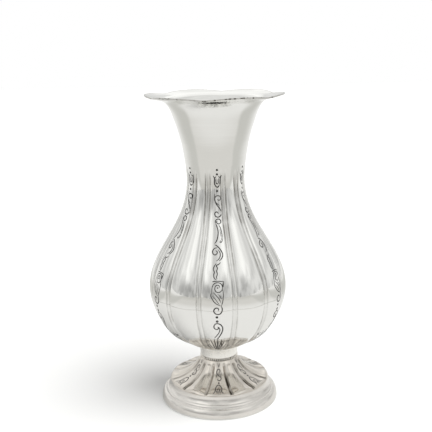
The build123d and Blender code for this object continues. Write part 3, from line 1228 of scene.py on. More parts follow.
@dataclass(frozen=True)
class ChasedCut:
    """The dark metal inside a chased line.

    Attributes:
        name: The finish's name.
        deep: The colour at the bottom of a cut.
        rubbed: The colour where polishing has reached it.
        roughness: The roughness of a clean place.
        smudge: The roughness that smudges add.
        metal: How metallic it is.
    """

    name: str
    deep: Colour = (0.030, 0.029, 0.028)
    rubbed: Colour = (0.14, 0.135, 0.13)
    roughness: float = 0.42
    smudge: float = 0.12
    metal: float = 0.7

    def material(self) -> bpy.types.Material:
        """Builds the finish.

        Returns:
            The material.
        """
        g, made = Graph.material(self.name)
        wear = g.use(Effects.handling(), {"Polish": self.roughness, "Smudge": self.smudge})
        patch = g.ramp(g.noise(g.place(), scale=420.0, detail=2.0), low=0.38, high=0.68)
        g.fill(g.tree.nodes["Principled BSDF"], {"Base Color": g.tint(patch, self.deep, self.rubbed),
                                                 "Metallic": self.metal, "Roughness": wear["Roughness"]})
        return made


@dataclass
class Body:
    """The pear-shaped body: a lower and an upper half, and the scrolls chased on every second lobe.

    The flank and shoulder points are shares of the way out and up: from the floor to the belly, and from the
    belly to the throat.
    """

    base: float = 43.4
    floor_radius: float = 15.2
    belly_radius: float = 53.0
    belly_height: float = 50.5
    throat_radius: float = 21.9
    throat_height: float = 135.0
    top_radius: float = 22.75
    height: float = 145.6
    seam_level: float = 89.4
    wall: float = 0.8
    flank_low: Point = (0.72, 0.27)
    flank_high: Point = (0.93, 0.60)
    shoulder_low: Point = (0.58, 0.404)
    shoulder_high: Point = (0.15, 0.70)
    lobes: int = 12
    lower_rows: int = 84
    upper_rows: int = 112
    scroll_lean: float = 0.012
    lean_level: float = 75.0

    def profile(self) -> Profile:
        """Sets out the lobes' crowns.

        Returns:
            The outline from the middle of the floor to the neck.
        """
        belly = self.base + self.belly_height
        throat = self.base + self.throat_height
        flanks = [(self.belly_radius * r, between(self.base, belly, z))
                  for r, z in (self.flank_low, self.flank_high)]
        shoulders = [(between(self.throat_radius, self.belly_radius, r), between(belly, throat, z))
                     for r, z in (self.shoulder_low, self.shoulder_high)]
        return Profile(((self.floor_radius, self.base), *flanks, (self.belly_radius, belly), *shoulders,
                        (self.throat_radius, throat), (self.top_radius, self.base + self.height)),
                       lead=((0.0, self.base), (self.floor_radius / 2.0, self.base)))

    def form(self) -> LobeForm:
        """Sets out the lobes, with reeds between them.

        Returns:
            Their sizes.
        """
        # The reeds' middles are painted darker: painted shade, with some tarnish.
        return LobeForm(self.lobes, rise=1.6, strip_width=3.6, strip_rise=0.42, strip_power=Between.REED,
                        groove_depth=0.34, groove_width=1.0, low_level=self.base + 0.4, low_fade=7.0,
                        high_level=self.base + self.height, high_fade=12.0, full_radius=self.belly_radius,
                        strip_tarnish=0.5, line_tarnish=0.75)

    @staticmethod
    def scroll() -> tuple[Mark, ...]:
        """Draws the chased scroll.

        Returns:
            Its marks from the throat down to the floor, by place across and level.
        """
        return (
            Dot(0.0, 186.6, 0.8),
            Dot(0.0, 183.3, 0.8),
            Stroke(((-2.9, 182.3), (-1.9, 180.6), (-1.8, 176.6), (-0.9, 174.5), (0.1, 173.8), (1.2, 174.4),
                    (2.2, 176.4), (2.5, 180.4), (3.3, 182.6)), 0.75),
            Stroke(((-0.8, 180.4), (-0.7, 177.4), (0.1, 176.2), (1.0, 177.2), (1.2, 180.2)), 0.6),
            Stroke(((-2.6, 181.4), (-1.2, 181.0), (-0.7, 182.0)), 0.6),
            Stroke(((3.0, 181.6), (1.7, 181.0), (1.1, 182.1)), 0.6),
            Stroke(((0.1, 179.6), (0.15, 177.8)), 0.55),
            Dot(0.0, 170.9, 0.8),
            Stroke(((-1.6, 169.0), (-1.75, 166.2), (-1.5, 163.8), (-0.2, 161.0), (1.9, 158.4), (2.9, 155.9),
                    (2.7, 153.7), (1.4, 152.6), (-0.5, 152.7), (-1.7, 154.3), (-1.2, 155.8), (0.1, 155.9),
                    (0.9, 154.8)), 0.72),
            Stroke(((-1.6, 165.6), (-0.9, 167.1), (1.1, 167.5), (2.5, 166.4), (2.4, 164.9), (1.1, 164.3),
                    (0.2, 165.1)), 0.68),
            Stroke(((-0.9, 163.0), (0.6, 161.4), (1.9, 160.5)), 0.45),
            Curl(0.9, 149.3, 2.2, 200.0, -420.0, 0.5, 0.7),
            Stroke(((-1.1, 148.2), (-0.2, 146.2), (0.7, 142.8), (0.5, 139.6), (-0.4, 136.6),
                    (-1.8, 134.9)), 0.7),
            Stroke(((1.2, 147.2), (2.4, 145.2), (3.3, 142.4), (3.7, 139.6), (3.3, 137.2)), 0.55),
            Stroke(((2.0, 144.4), (2.5, 141.6), (2.9, 139.4)), 0.4),
            Stroke(((4.0, 138.2), (3.3, 136.0), (2.3, 135.6), (2.6, 137.0)), 0.6),
            Stroke(((-1.9, 134.2), (-0.4, 133.6), (1.6, 131.9), (3.2, 129.9), (4.1, 127.7), (3.4, 125.4),
                    (1.6, 123.7)), 0.7),
            Stroke(((0.2, 132.2), (-1.6, 131.9), (-3.1, 130.4), (-3.1, 128.8), (-1.9, 127.7), (-0.4, 128.1),
                    (0.1, 129.6), (-1.0, 130.4)), 0.68),
            Stroke(((0.5, 131.1), (2.0, 129.3), (2.3, 127.2), (1.3, 125.0), (-0.6, 123.7)), 0.6),
            Stroke(((2.5, 122.9), (1.1, 121.5), (-0.4, 120.8), (0.3, 119.2), (-0.2, 117.4), (0.2, 115.2),
                    (-0.3, 113.2), (0.1, 111.9)), 0.62),
            Stroke(((-0.6, 122.2), (-2.0, 120.3), (-2.6, 118.4), (-2.0, 116.6), (-2.4, 114.7), (-1.9, 112.6),
                    (-0.3, 111.4)), 0.62),
            Stroke(((-3.3, 110.3), (-1.0, 110.6), (2.2, 110.5), (5.0, 110.2)), 0.55, taper=0.9),
            Stroke(((4.9, 110.0), (4.4, 108.4), (4.5, 106.6)), 0.8),
            Stroke(((-3.9, 103.0), (-3.5, 106.4), (-2.3, 108.7), (0.3, 109.6), (2.9, 108.7), (3.9, 106.2),
                    (2.9, 103.8), (0.6, 103.0), (-1.2, 104.2), (-1.5, 106.4), (-0.2, 107.9), (1.5, 107.5),
                    (2.0, 106.0)), 0.52),
            Dot(0.5, 106.1, 0.55),
            Stroke(((-3.9, 103.0), (-4.5, 101.0), (-3.4, 98.2), (-1.2, 95.4), (2.6, 93.2)), 0.55),
            Stroke(((4.0, 104.8), (4.6, 101.6), (4.3, 98.0), (3.9, 95.6), (3.0, 93.0)), 0.55),
            Stroke(((-2.8, 103.0), (-0.6, 100.9), (1.7, 98.0), (3.0, 95.2)), 0.5),
            Stroke(((0.4, 102.0), (2.0, 100.4), (3.4, 98.0)), 0.42),
            Stroke(((-3.4, 100.6), (-1.6, 98.8), (0.2, 96.2), (1.6, 94.4)), 0.42),
            Stroke(((3.0, 93.2), (3.7, 91.0), (3.3, 88.6), (1.7, 87.0), (-0.6, 87.1), (-2.2, 88.7),
                    (-2.0, 90.8), (-0.4, 91.8), (1.0, 91.0), (0.9, 89.6)), 0.75),
            Dot(-0.2, 84.5, 0.9),
            Dot(0.0, 81.1, 0.95),
            Stroke(((0.3, 76.6), (0.9, 75.2), (-0.4, 74.1), (-2.0, 75.2), (-2.3, 77.4), (-0.9, 79.1),
                    (1.3, 79.0), (3.2, 77.2), (4.0, 74.4), (3.1, 70.6), (1.4, 67.0), (0.2, 64.4)), 0.75),
            Stroke(((1.2, 76.2), (1.9, 73.8), (0.9, 70.4), (-0.7, 67.8), (-2.0, 65.8)), 0.65),
            Stroke(((-5.2, 63.4), (-3.9, 59.4), (-2.3, 54.0), (-1.5, 49.6)), 0.65),
            Stroke(((-2.4, 64.4), (-1.7, 60.0), (-0.9, 54.0), (-0.7, 49.0)), 0.65),
            Stroke(((0.2, 66.2), (0.1, 60.0), (0.0, 54.0), (0.0, 48.8)), 0.7),
            Stroke(((3.0, 64.0), (2.2, 59.6), (1.1, 54.0), (0.7, 49.0)), 0.65),
            Stroke(((5.4, 62.8), (4.2, 59.0), (2.4, 54.0), (1.5, 49.6)), 0.65),
            Curl(-7.0, 60.5, 1.5, 40.0, 300.0, 0.5, 0.55),
            Curl(7.2, 60.5, 1.5, 140.0, -300.0, 0.5, 0.55),
            Stroke(((-6.2, 57.8), (-4.6, 54.0), (-2.8, 50.4)), 0.5),
            Stroke(((6.4, 57.8), (4.7, 54.0), (2.8, 50.4)), 0.5),
        )

    def build(self, silver: bpy.types.Material, cut: bpy.types.Material) -> None:
        """Builds both halves, which are dull inside all the way up, and the scrolls.

        Args:
            silver: The sheet's finish.
            cut: The finish inside the chased lines.
        """
        profile, form = self.profile(), self.form()
        seam, top = profile.arc_at(Along.LEVEL, self.seam_level), profile.arcs()[-1]
        lower = LobedSheet("body_lower_sheet", profile, form, 0.0, seam, self.lower_rows, self.wall)
        upper = LobedSheet("body_upper_sheet", profile, form, seam, top, self.upper_rows, self.wall, edge=0.0)
        for half, node in ((lower, "body_lower"), (upper, "body_upper")):
            piece = half.build(silver)
            Workbench.dull_inside(piece, self.base + 2.0 * self.height)
            Workbench.hand_in(piece, silver, Slot.SILVER, node)
        panels = ChasedPanels("chased_scrolls", profile, form, Along.LEVEL, self.scroll(),
                              lean=self.scroll_lean,
                              lean_from=profile.arc_at(Along.LEVEL, self.lean_level))
        Workbench.hand_in(panels.build(cut), cut, Slot.SILVER)


@dataclass
class Lip:
    """The trumpet neck, its scalloped lip and the wire along the edge.

    The waist, flare, turn and brim are shares of the way out to the tip and up the neck.
    """

    base: float = 189.0
    height: float = 51.4
    body_radius: float = 22.75
    throat_radius: float = 21.9
    spigot: float = 6.0
    spigot_gap: float = 0.75
    spigot_fold: float = 1.2
    tip_radius: float = 52.3
    past_tip: float = 1.2
    notch_depth: float = 4.1
    notch_blend: float = 2.2
    notch_turn: float = -7.0
    scallops: int = 6
    wall: float = 0.8
    wire: float = 0.5
    proud: float = 0.1
    dip: float = 0.3
    dip_power: float = 7.0
    waist: Point = (0.083, 0.294)
    flare: Point = (0.262, 0.647)
    turn: Point = (0.536, 0.903)
    brim: Point = (0.77, 0.941)
    polished_from: float = 0.7
    columns: int = 288
    rows: int = 72
    row_power: float = 0.85
    sharp_deg: float = 50.0
    wire_columns: int = 432
    wire_sides: int = 12

    def profile(self) -> Profile:
        """Sets out the neck's outside.

        Returns:
            The outline from the body to just past the scallops.
        """
        points = [(between(self.body_radius, self.tip_radius, r), self.base + self.height * z)
                  for r, z in (self.waist, self.flare, self.turn, self.brim)]
        tip = (self.tip_radius, self.base + self.height - self.wall - self.proud)
        run = np.array(tip) - np.array(points[-1])
        past = np.array(tip) + run / np.linalg.norm(run) * self.past_tip
        return Profile(((self.body_radius, self.base), *points, tip, (float(past[0]), float(past[1]))))

    def reach(self, bearing: np.ndarray) -> np.ndarray:
        """The lip's radius at bearings from the front, in radians.

        Args:
            bearing: The bearings.

        Returns:
            The radius at each, with rounded notches between the scallops.
        """
        step = TURN / self.scallops
        notch = self.tip_radius - self.notch_depth
        half = step / 2.0
        middle = (self.tip_radius ** 2 - notch ** 2) / (2.0 * (self.tip_radius - notch * math.cos(half)))
        sweep = self.tip_radius - middle
        off = bearing - math.radians(self.notch_turn) - half
        aside = np.abs(off - step * np.round(off / step))

        def scallop(angle: np.ndarray) -> np.ndarray:
            """The radius of one scallop's arc at angles from its middle."""
            squared = np.maximum(sweep ** 2 - (middle * np.sin(angle)) ** 2, 0.0)
            return middle * np.cos(angle) + np.sqrt(squared)

        own, other = scallop(aside), scallop(step - aside)
        blend = np.maximum(self.notch_blend - np.abs(own - other), 0.0) / self.notch_blend
        return np.maximum(own, other) + blend ** 2 * self.notch_blend / 4.0

    def edge(self, bearing: np.ndarray) -> tuple[np.ndarray, np.ndarray]:
        """The sheet's edge, which lies the wire's radius inside the lip's plan, at bearings from the front.

        Args:
            bearing: The bearings.

        Returns:
            The length of the outline up to the edge, and how far the edge dips.
        """
        profile = self.profile()
        reach = self.reach(bearing)
        arc = np.interp(reach - self.wire, profile.points()[:, 0], profile.arcs())
        return arc, self.dip * (self.tip_radius - reach) / self.notch_depth

    def sheet(self) -> bpy.types.Object:
        """Builds the spun neck with its spigot.

        Returns:
            The piece.
        """
        profile = self.profile()
        line, arcs = profile.points(), profile.arcs()
        slope = np.gradient(line, arcs, axis=0)
        slope /= np.linalg.norm(slope, axis=1)[:, None]
        bearing = bearings(self.columns)
        end, dip = self.edge(bearing)
        share = np.linspace(0.0, 1.0, self.rows)[:, None] ** self.row_power
        arc = share * end
        radius, level = np.interp(arc, arcs, line[:, 0]), np.interp(arc, arcs, line[:, 1])
        along_r, along_z = np.interp(arc, arcs, slope[:, 0]), np.interp(arc, arcs, slope[:, 1])
        level = level - dip * share ** self.dip_power
        inner_r, inner_z = radius - self.wall * along_z, level + self.wall * along_r
        sleeve = self.throat_radius - self.wall - self.spigot_gap
        bottom = self.base - self.spigot
        spigot = [(sleeve - self.wall, self.base + self.spigot_fold), (sleeve - self.wall, bottom),
                  (sleeve, bottom), (sleeve, self.base)]
        radii = np.vstack([radius, inner_r[::-1], *[np.full(self.columns, r) for r, _ in spigot]])
        levels = np.vstack([level, inner_z[::-1], *[np.full(self.columns, z) for _, z in spigot]])
        return Workbench.rings("neck_sheet", placed(radii, levels, bearing + FRONT), self.sharp_deg)

    @staticmethod
    def wire_tree() -> bpy.types.NodeTree:
        """The node tree that draws a round wire along a path.

        Returns:
            The tree.
        """
        g = Graph.maker("Drawn Wire", {"Wire Radius": FLOAT, "Sides": INTEGER})
        at = g.given
        section = g.put("GeometryNodeCurvePrimitiveCircle",
                        {"Resolution": at["Sides"], "Radius": at["Wire Radius"]})
        drawn = g.put("GeometryNodeCurveToMesh", {"Curve": at["Geometry"], "Profile Curve": section})
        return g.dress(g.put("GeometryNodeSetShadeSmooth", {"Geometry": drawn}))

    def rim(self, material: bpy.types.Material) -> bpy.types.Object:
        """Builds the wire along the scalloped edge.

        Args:
            material: Its finish.

        Returns:
            The piece.
        """
        line, arcs = self.profile().points(), self.profile().arcs()
        bearing = bearings(self.wire_columns)
        arc, dip = self.edge(bearing)
        radius = np.interp(arc, arcs, line[:, 0])
        level = np.interp(arc, arcs, line[:, 1]) + self.wall / 2.0 - dip
        carrier = Workbench.curve("rim_path", placed(radius, level, bearing + FRONT), closed=True)
        Workbench.run(carrier, self.wire_tree(),
                      {"Wire Radius": self.wire * MM, "Sides": self.wire_sides, "Finish": material})
        return Workbench.bake(carrier, "rim_wire_drawn")

    def build(self, silver: bpy.types.Material, wire: bpy.types.Material) -> None:
        """Builds the neck and its wire.

        Args:
            silver: The sheet's finish.
            wire: The wire's finish.
        """
        neck = self.sheet()
        Workbench.dull_inside(neck, self.base + self.polished_from * self.height)
        Workbench.hand_in(neck, silver, Slot.SILVER, "trumpet_neck")
        Workbench.hand_in(self.rim(wire), wire, Slot.WIRE, "rim_wire")


@dataclass
class Stem:
    """The plain collar under the bowl and the milled ring below it."""

    milled_base: float = 33.6
    milled_height: float = 2.2
    milled_radius: float = 14.9
    nicks: int = 54
    tooth_reach: float = 0.75
    tooth_half_width: float = 0.42
    tooth_stretch: float = 1.15
    core_gap: float = 0.1
    collar_radius: float = 14.5
    collar_top_radius: float = 15.6
    collar_waist: float = 0.2
    collar_height: float = 7.6
    collar_round: float = 0.25
    spigot_radius: float = 12.4
    spigot_length: float = 5.0
    bore_radius: float = 11.2

    def collar(self) -> bpy.types.Object:
        """Builds the collar with its spigot.

        Returns:
            The piece.
        """
        base = self.milled_base + self.milled_height
        top = base + self.collar_height
        foot = base - self.spigot_length
        side = bowed((self.collar_radius, base), (self.collar_top_radius, top), -self.collar_waist)
        section = [(self.bore_radius, foot), (self.spigot_radius, foot), (self.spigot_radius, base),
                   (self.collar_radius, base), *side, (self.bore_radius, top)]
        return Workbench.lathe("collar_turned", softened(section, self.collar_round))

    @staticmethod
    def milling_tree() -> bpy.types.NodeTree:
        """The node tree for a dark ring with an even row of bright teeth round it.

        Returns:
            The tree.
        """
        g = Graph.maker("Milled Wire", {"Core Radius": FLOAT, "Core Size": FLOAT, "Level": FLOAT,
                                        "Teeth": INTEGER, "Tooth Seat": FLOAT, "Tooth Size": VECTOR})
        at = g.given
        circle = g.put("GeometryNodeCurvePrimitiveCircle", {"Resolution": 160, "Radius": at["Core Radius"]})
        section = g.put("GeometryNodeCurvePrimitiveCircle", {"Resolution": 14, "Radius": at["Core Size"]})
        core = g.put("GeometryNodeCurveToMesh", {"Curve": circle, "Profile Curve": section})
        dulled = g.put("GeometryNodeStoreNamedAttribute", {"Geometry": core, "Name": CREASE, "Value": 1.0},
                       data_type="FLOAT", domain="POINT")
        seats = g.put("GeometryNodeMeshCircle", {"Vertices": at["Teeth"], "Radius": at["Tooth Seat"]})
        tooth = g.put("GeometryNodeMeshUVSphere", {"Segments": 10, "Rings": 7, "Radius": 1.0})
        teeth = g.put("GeometryNodeInstanceOnPoints",
                      {"Points": seats, "Instance": tooth, "Rotation": g.evenly(at["Teeth"]),
                       "Scale": at["Tooth Size"]})
        both = g.put("GeometryNodeJoinGeometry")
        for part in (dulled, teeth):
            g.feed(both.inputs[0], part)
        raised = g.put("GeometryNodeSetPosition", {"Geometry": both, "Offset": g.join(z=at["Level"])})
        return g.dress(g.put("GeometryNodeSetShadeSmooth", {"Geometry": raised}))

    def milling(self, material: bpy.types.Material) -> bpy.types.Object:
        """Builds the nicked ring.

        Args:
            material: Its finish.

        Returns:
            The piece.
        """
        half = self.milled_height / 2.0
        seat = self.milled_radius - self.tooth_reach
        tooth = (self.tooth_reach * MM, self.tooth_half_width * MM, self.tooth_stretch * half * MM)
        carrier = Workbench.add("milled_carrier", bpy.data.meshes.new("milled"))
        Workbench.run(carrier, self.milling_tree(),
                      {"Core Radius": (seat - half) * MM, "Core Size": (half - self.core_gap) * MM,
                       "Level": (self.milled_base + half) * MM, "Teeth": self.nicks, "Tooth Seat": seat * MM,
                       "Tooth Size": tooth, "Finish": material})
        return Workbench.bake(carrier, "milled_ring_nicked")

    def build(self, silver: bpy.types.Material, wire: bpy.types.Material) -> None:
        """Builds the collar and the milled ring.

        Args:
            silver: The collar's finish.
            wire: The ring's finish.
        """
        Workbench.hand_in(self.collar(), silver, Slot.SILVER, "stem_collar")
        Workbench.hand_in(self.milling(wire), wire, Slot.WIRE, "milled_ring")


@dataclass
class Foot:
    """The fluted dome with its chased tongues, the moulded ring under it and the wire that it stands on.

    The edge, spread, flare and neck are shares of the way out to the flange and up the dome.
    """

    wire_radius: float = 45.9
    wire_height: float = 0.9
    wire_upstand: float = 1.8
    wire_width: float = 4.2
    wire_round: float = 0.4
    plinth_radius: float = 45.8
    plinth_top_radius: float = 44.2
    plinth_top: float = 6.7
    plinth_swell: float = 0.5
    step_radius: float = 42.6
    step_top: float = 7.6
    bead_radius: float = 40.8
    bead_top: float = 9.9
    bead_swell: float = 0.45
    flange_radius: float = 39.0
    flange_inner: float = 34.4
    flange_top: float = 15.4
    cavetto: float = 0.5
    ring_wall: float = 0.9
    ring_round: float = 0.35
    gap: float = 0.1
    dome_top_radius: float = 14.2
    dome_height: float = 18.2
    dome_wall: float = 1.0
    dome_rows: int = 64
    edge: Point = (0.98, 0.075)
    spread: Point = (0.845, 0.135)
    flare: Point = (0.61, 0.225)
    neck: Point = (0.25, 0.52)
    tongues: int = 12
    flute_columns: int = 10
    scroll_bold: float = 1.2

    def profile(self) -> Profile:
        """Sets out the dome's outside.

        Returns:
            The outline from its edge on the flange up to the milled ring.
        """
        ends = (self.dome_top_radius, self.flange_radius)
        points = [(between(*ends, r), self.flange_top + self.dome_height * z)
                  for r, z in (self.edge, self.spread, self.flare, self.neck)]
        return Profile(((self.flange_radius, self.flange_top), *points,
                        (self.dome_top_radius, self.flange_top + self.dome_height)))

    def form(self) -> LobeForm:
        """Sets out the tongues, with flutes between them and a pillow on each plain one.

        Returns:
            Their sizes.
        """
        # The flutes' middles are painted darker: painted shade in the hollows, with tarnish.
        return LobeForm(self.tongues, rise=0.35, strip_width=2.3, strip_rise=-1.05, strip_power=Between.FLUTE,
                        groove_depth=0.0, groove_width=0.4, low_level=self.flange_top + 0.5, low_fade=1.2,
                        high_level=self.flange_top + self.dome_height - 1.2, high_fade=3.2,
                        full_radius=self.flange_radius, pillow=0.55, pillow_edge=3.2, strip_tarnish=1.0)

    @staticmethod
    def scroll() -> tuple[Mark, ...]:
        """Draws the chased pattern of a tongue.

        Returns:
            Its marks from the stem out, by place across and radius.
        """
        return (
            Stroke(((-0.7, 14.8), (-0.5, 15.7), (0.0, 16.5)), 0.5),
            Stroke(((0.7, 14.8), (0.5, 15.7), (0.0, 16.5)), 0.5),
            Stroke(((0.1, 18.9), (0.8, 18.6), (0.8, 17.8), (-0.2, 17.3), (-1.3, 17.9), (-1.7, 19.0),
                    (-1.1, 20.1), (0.3, 20.9), (1.5, 21.9), (1.6, 23.2), (0.6, 24.1), (-0.6, 23.9),
                    (-0.8, 23.0), (-0.1, 22.7)), 0.65),
            Stroke(((-1.5, 19.9), (-2.0, 20.8), (-1.5, 22.0)), 0.5),
            Stroke(((1.1, 20.9), (1.8, 20.0), (1.7, 18.9)), 0.5),
            Dot(-0.1, 26.0),
            Stroke(((-4.4, 37.2), (-3.0, 34.6), (-2.6, 31.4), (-1.6, 28.8), (-0.3, 27.8), (1.1, 28.8),
                    (2.1, 31.4), (2.2, 34.6), (3.6, 37.2)), 0.72, taper=0.8),
            Stroke(((-2.2, 37.0), (-1.5, 33.6), (-0.4, 31.4), (0.6, 33.6), (1.4, 37.0)), 0.6),
            Stroke(((-0.9, 37.0), (-0.4, 34.4), (0.1, 37.0)), 0.55),
        )

    def ring_section(self) -> list[Point]:
        """Sets out the moulded ring.

        Returns:
            Its section: plinth, step, bead, hollow and flange outside, and a plain inside.
        """
        bottom = (self.plinth_radius, self.wire_height)
        plinth = (self.plinth_top_radius, self.plinth_top)
        step = (self.step_radius, self.step_top)
        bead = (self.bead_radius, self.bead_top)
        flange = (self.flange_radius, self.flange_top)
        wall = self.ring_wall
        inside = [(self.flange_inner, self.flange_top - wall)]
        inside += [(radius - wall, level - wall) for radius, level in (flange, bead, step, plinth)]
        inside.append((self.plinth_top_radius - wall, self.wire_height))
        return [bottom, *bowed(bottom, plinth, self.plinth_swell), step, *bowed(step, bead, self.bead_swell),
                *bowed(bead, flange, -self.cavetto), (self.flange_inner, self.flange_top), *inside]

    def wire_section(self) -> list[Point]:
        """Sets out the foot wire.

        Returns:
            Its section, with the upstand that centres it.
        """
        inner = self.wire_radius - self.wire_width
        upstand = self.plinth_top_radius - self.ring_wall - self.gap
        top = self.wire_height + self.wire_upstand
        return [(inner, 0.0), (self.wire_radius, 0.0), (self.wire_radius, self.wire_height),
                (upstand, self.wire_height), (upstand, top), (inner, top)]

    def build(self, silver: bpy.types.Material, dome_silver: bpy.types.Material, wire: bpy.types.Material,
              cut: bpy.types.Material) -> None:
        """Builds the dome, its chased tongues, the ring and the wire.

        Args:
            silver: The ring's finish.
            dome_silver: The dome's finish.
            wire: The foot wire's finish.
            cut: The finish inside the chased lines.
        """
        profile, form = self.profile(), self.form()
        dome = LobedSheet("foot_dome_fluted", profile, form, 0.0, profile.arcs()[-1], self.dome_rows,
                          self.dome_wall, strip_columns=self.flute_columns)
        Workbench.hand_in(dome.build(dome_silver), dome_silver, Slot.SILVER, "foot_dome")
        panels = ChasedPanels("chased_tongues", profile, form, Along.RADIUS, self.scroll(),
                              bold=self.scroll_bold)
        Workbench.hand_in(panels.build(cut), cut, Slot.SILVER)
        ring = Workbench.lathe("foot_ring_moulded", softened(self.ring_section(), self.ring_round))
        Workbench.hand_in(ring, silver, Slot.SILVER, "foot_ring")
        band = Workbench.lathe("foot_wire_drawn", softened(self.wire_section(), self.wire_round))
        Workbench.hand_in(band, wire, Slot.WIRE, "foot_wire")


@dataclass
class Studio:
    """The pale floor, the soft light and the camera.

    Lengths are metres here, and the lens is given by its focal length in pixels of the square picture. The
    silver mirrors a pale sheet under the vase, a darker table at its sides and plain grey walls.

    Attributes:
        picture: The picture's width in pixels.
        focal: The focal length in pixels.
        distance: How far the camera stands from the vase's axis.
        height: How high it stands.
        turn_deg: How far it stands to the right of the front.
        yaw_deg: How far it looks past the axis.
        pitch_deg: How far it looks down.
        roll_deg: How far it leans.
        floor_size: The floor's width.
        floor_colour: The floor's colour.
        clear_floor: How much the floor glows of itself, to be nearly white.
        near_sheet: The sheet's colour in the silver, near the vase.
        far_sheet: Its colour further out.
        floor_end: Its colour at its far edge.
        table: The table's colour in the silver.
        sheet_slant: How far the sheet's edge slants from front to back.
        sheet_edge: Where the sheet ends in the table.
        sheet_clear: The distances over which the table comes in.
        near_to_far: The distances over which the sheet turns to its second colour.
        far_to_end: The distances over which it turns to its third.
        table_end: Where the table ends.
        key_level: The key light's strength.
        key_spread_deg: The angle that it fills.
        key_toward: Where it hangs.
        fill_level: The strength of the light from all round.
        front_turn: Over which turn the side walls become the front wall.
        side_wall: Two heights of the side walls, and how bright they are there.
        front_wall: The same for the front wall.
        windows: Each window's bearing from the front and height, in degrees, and its brightness.
        window_edge: Where a window starts and where it is full, as cosines.
        clutter: The levels of a noise between which the walls go from darker to brighter, and by how much.
        clutter_fade: Two heights of the walls, and how much of the clutter shows there.
        wall_blue: The walls' blue as a share of their red and green.
    """

    picture: float = 432.0
    focal: float = 763.5
    distance: float = 0.5698
    height: float = 0.2798
    turn_deg: float = 1.0
    yaw_deg: float = -0.028
    pitch_deg: float = 13.11
    roll_deg: float = -1.08
    floor_size: float = 8.0
    floor_colour: Colour = (0.82, 0.82, 0.81)
    clear_floor: float = 0.08
    near_sheet: Colour = (0.63, 0.627, 0.615)
    far_sheet: Colour = (0.512, 0.505, 0.485)
    floor_end: Colour = (0.45, 0.444, 0.42)
    table: Colour = (0.44, 0.438, 0.418)
    sheet_slant: float = 0.95
    sheet_edge: Span = (0.21, 0.33)
    sheet_clear: Span = (0.14, 0.34)
    near_to_far: Span = (0.2, 0.42)
    far_to_end: Span = (0.5, 1.4)
    table_end: Span = (0.5, 1.2)
    key_level: float = 2.9
    key_spread_deg: float = 53.0
    key_toward: tuple[float, float, float] = (0.41, -0.2, 0.88)
    fill_level: float = 0.5
    front_turn: Span = (0.2, 0.85)
    side_wall: tuple[float, ...] = (0.05, 0.55, 0.68, 0.80)
    front_wall: tuple[float, ...] = (0.10, 0.52, 0.50, 0.76)
    windows: tuple[tuple[float, float, float], ...] = ((-55.0, 40.0, 0.2), (55.0, 42.0, 0.2),
                                                       (180.0, 30.0, 0.19))
    window_edge: Span = (0.88, 0.97)
    clutter: tuple[float, ...] = (0.35, 0.65, -0.14, 0.14)
    clutter_fade: tuple[float, ...] = (0.5, 0.9, 1.0, 0.3)
    wall_blue: float = 0.985

    SENSOR = 36.0
    NEAREST = 0.01
    FARTHEST = 100.0

    def camera(self) -> None:
        """Places the camera where the photograph was taken from."""
        data = bpy.data.cameras.new("camera")
        data.sensor_width = self.SENSOR
        data.lens = self.focal * self.SENSOR / self.picture
        data.clip_start = self.NEAREST
        data.clip_end = self.FARTHEST
        item = Workbench.add("camera", data)
        turn, pitch, roll = (math.radians(x) for x in (self.turn_deg, self.pitch_deg, self.roll_deg))
        yaw = math.radians(self.yaw_deg) - turn
        ahead = Vector((math.sin(yaw) * math.cos(pitch), math.cos(yaw) * math.cos(pitch), -math.sin(pitch)))
        level = Vector((math.cos(yaw), -math.sin(yaw), 0.0))
        over = level.cross(ahead)
        right = math.cos(roll) * level + math.sin(roll) * over
        up = -math.sin(roll) * level + math.cos(roll) * over
        place = Matrix((right, up, -ahead)).transposed().to_4x4()
        place.translation = (self.distance * math.sin(turn), -self.distance * math.cos(turn), self.height)
        item.matrix_world = place
        bpy.context.scene.camera = item

    def floor_finish(self) -> bpy.types.Material:
        """Builds the floor's finish: pale to the camera, and a sheet on a table to the silver.

        Returns:
            The material.
        """
        g, made = Graph.material("pale floor")
        nodes = made.node_tree.nodes
        nodes.remove(nodes["Principled BSDF"])
        path = g.put("ShaderNodeLightPath").outputs
        mirrored = g.most(path["Is Glossy Ray"], path["Is Transmission Ray"])
        seen = g.most(path["Is Camera Ray"], mirrored)
        place = g.place()
        spot = g.split(place)
        edge = g.plus(g.times(spot[1], self.sheet_slant), g.math("ABSOLUTE", spot[0]))
        away = g.put("ShaderNodeVectorMath", {0: place}, operation="LENGTH").outputs["Value"]
        sheet = g.tint(g.ramp(away, *self.near_to_far), self.near_sheet, self.far_sheet)
        sheet = g.tint(g.ramp(away, *self.far_to_end), sheet, self.floor_end)
        around = g.tint(g.ramp(edge, *self.table_end), self.table, self.near_sheet)
        beyond = g.times(g.ramp(edge, *self.sheet_edge), g.ramp(away, *self.sheet_clear))
        paint = g.tint(mirrored, self.floor_colour, g.tint(beyond, sheet, around))
        matt = g.put("ShaderNodeBsdfDiffuse", {"Color": paint})
        glow = g.put("ShaderNodeEmission", {"Color": paint, "Strength": g.times(seen, self.clear_floor)})
        g.feed(nodes["Material Output"].inputs["Surface"], g.put("ShaderNodeAddShader", {0: matt, 1: glow}))
        return made

    def floor(self) -> None:
        """Lays the pale floor, which keeps the vase's shadow."""
        half = self.floor_size / 2.0
        mesh = bpy.data.meshes.new("floor")
        corners = [(-half, -half, 0.0), (half, -half, 0.0), (half, half, 0.0), (-half, half, 0.0)]
        mesh.from_pydata(corners, [], [(0, 1, 2, 3)])
        mesh.materials.append(self.floor_finish())
        Workbench.add("floor", mesh)

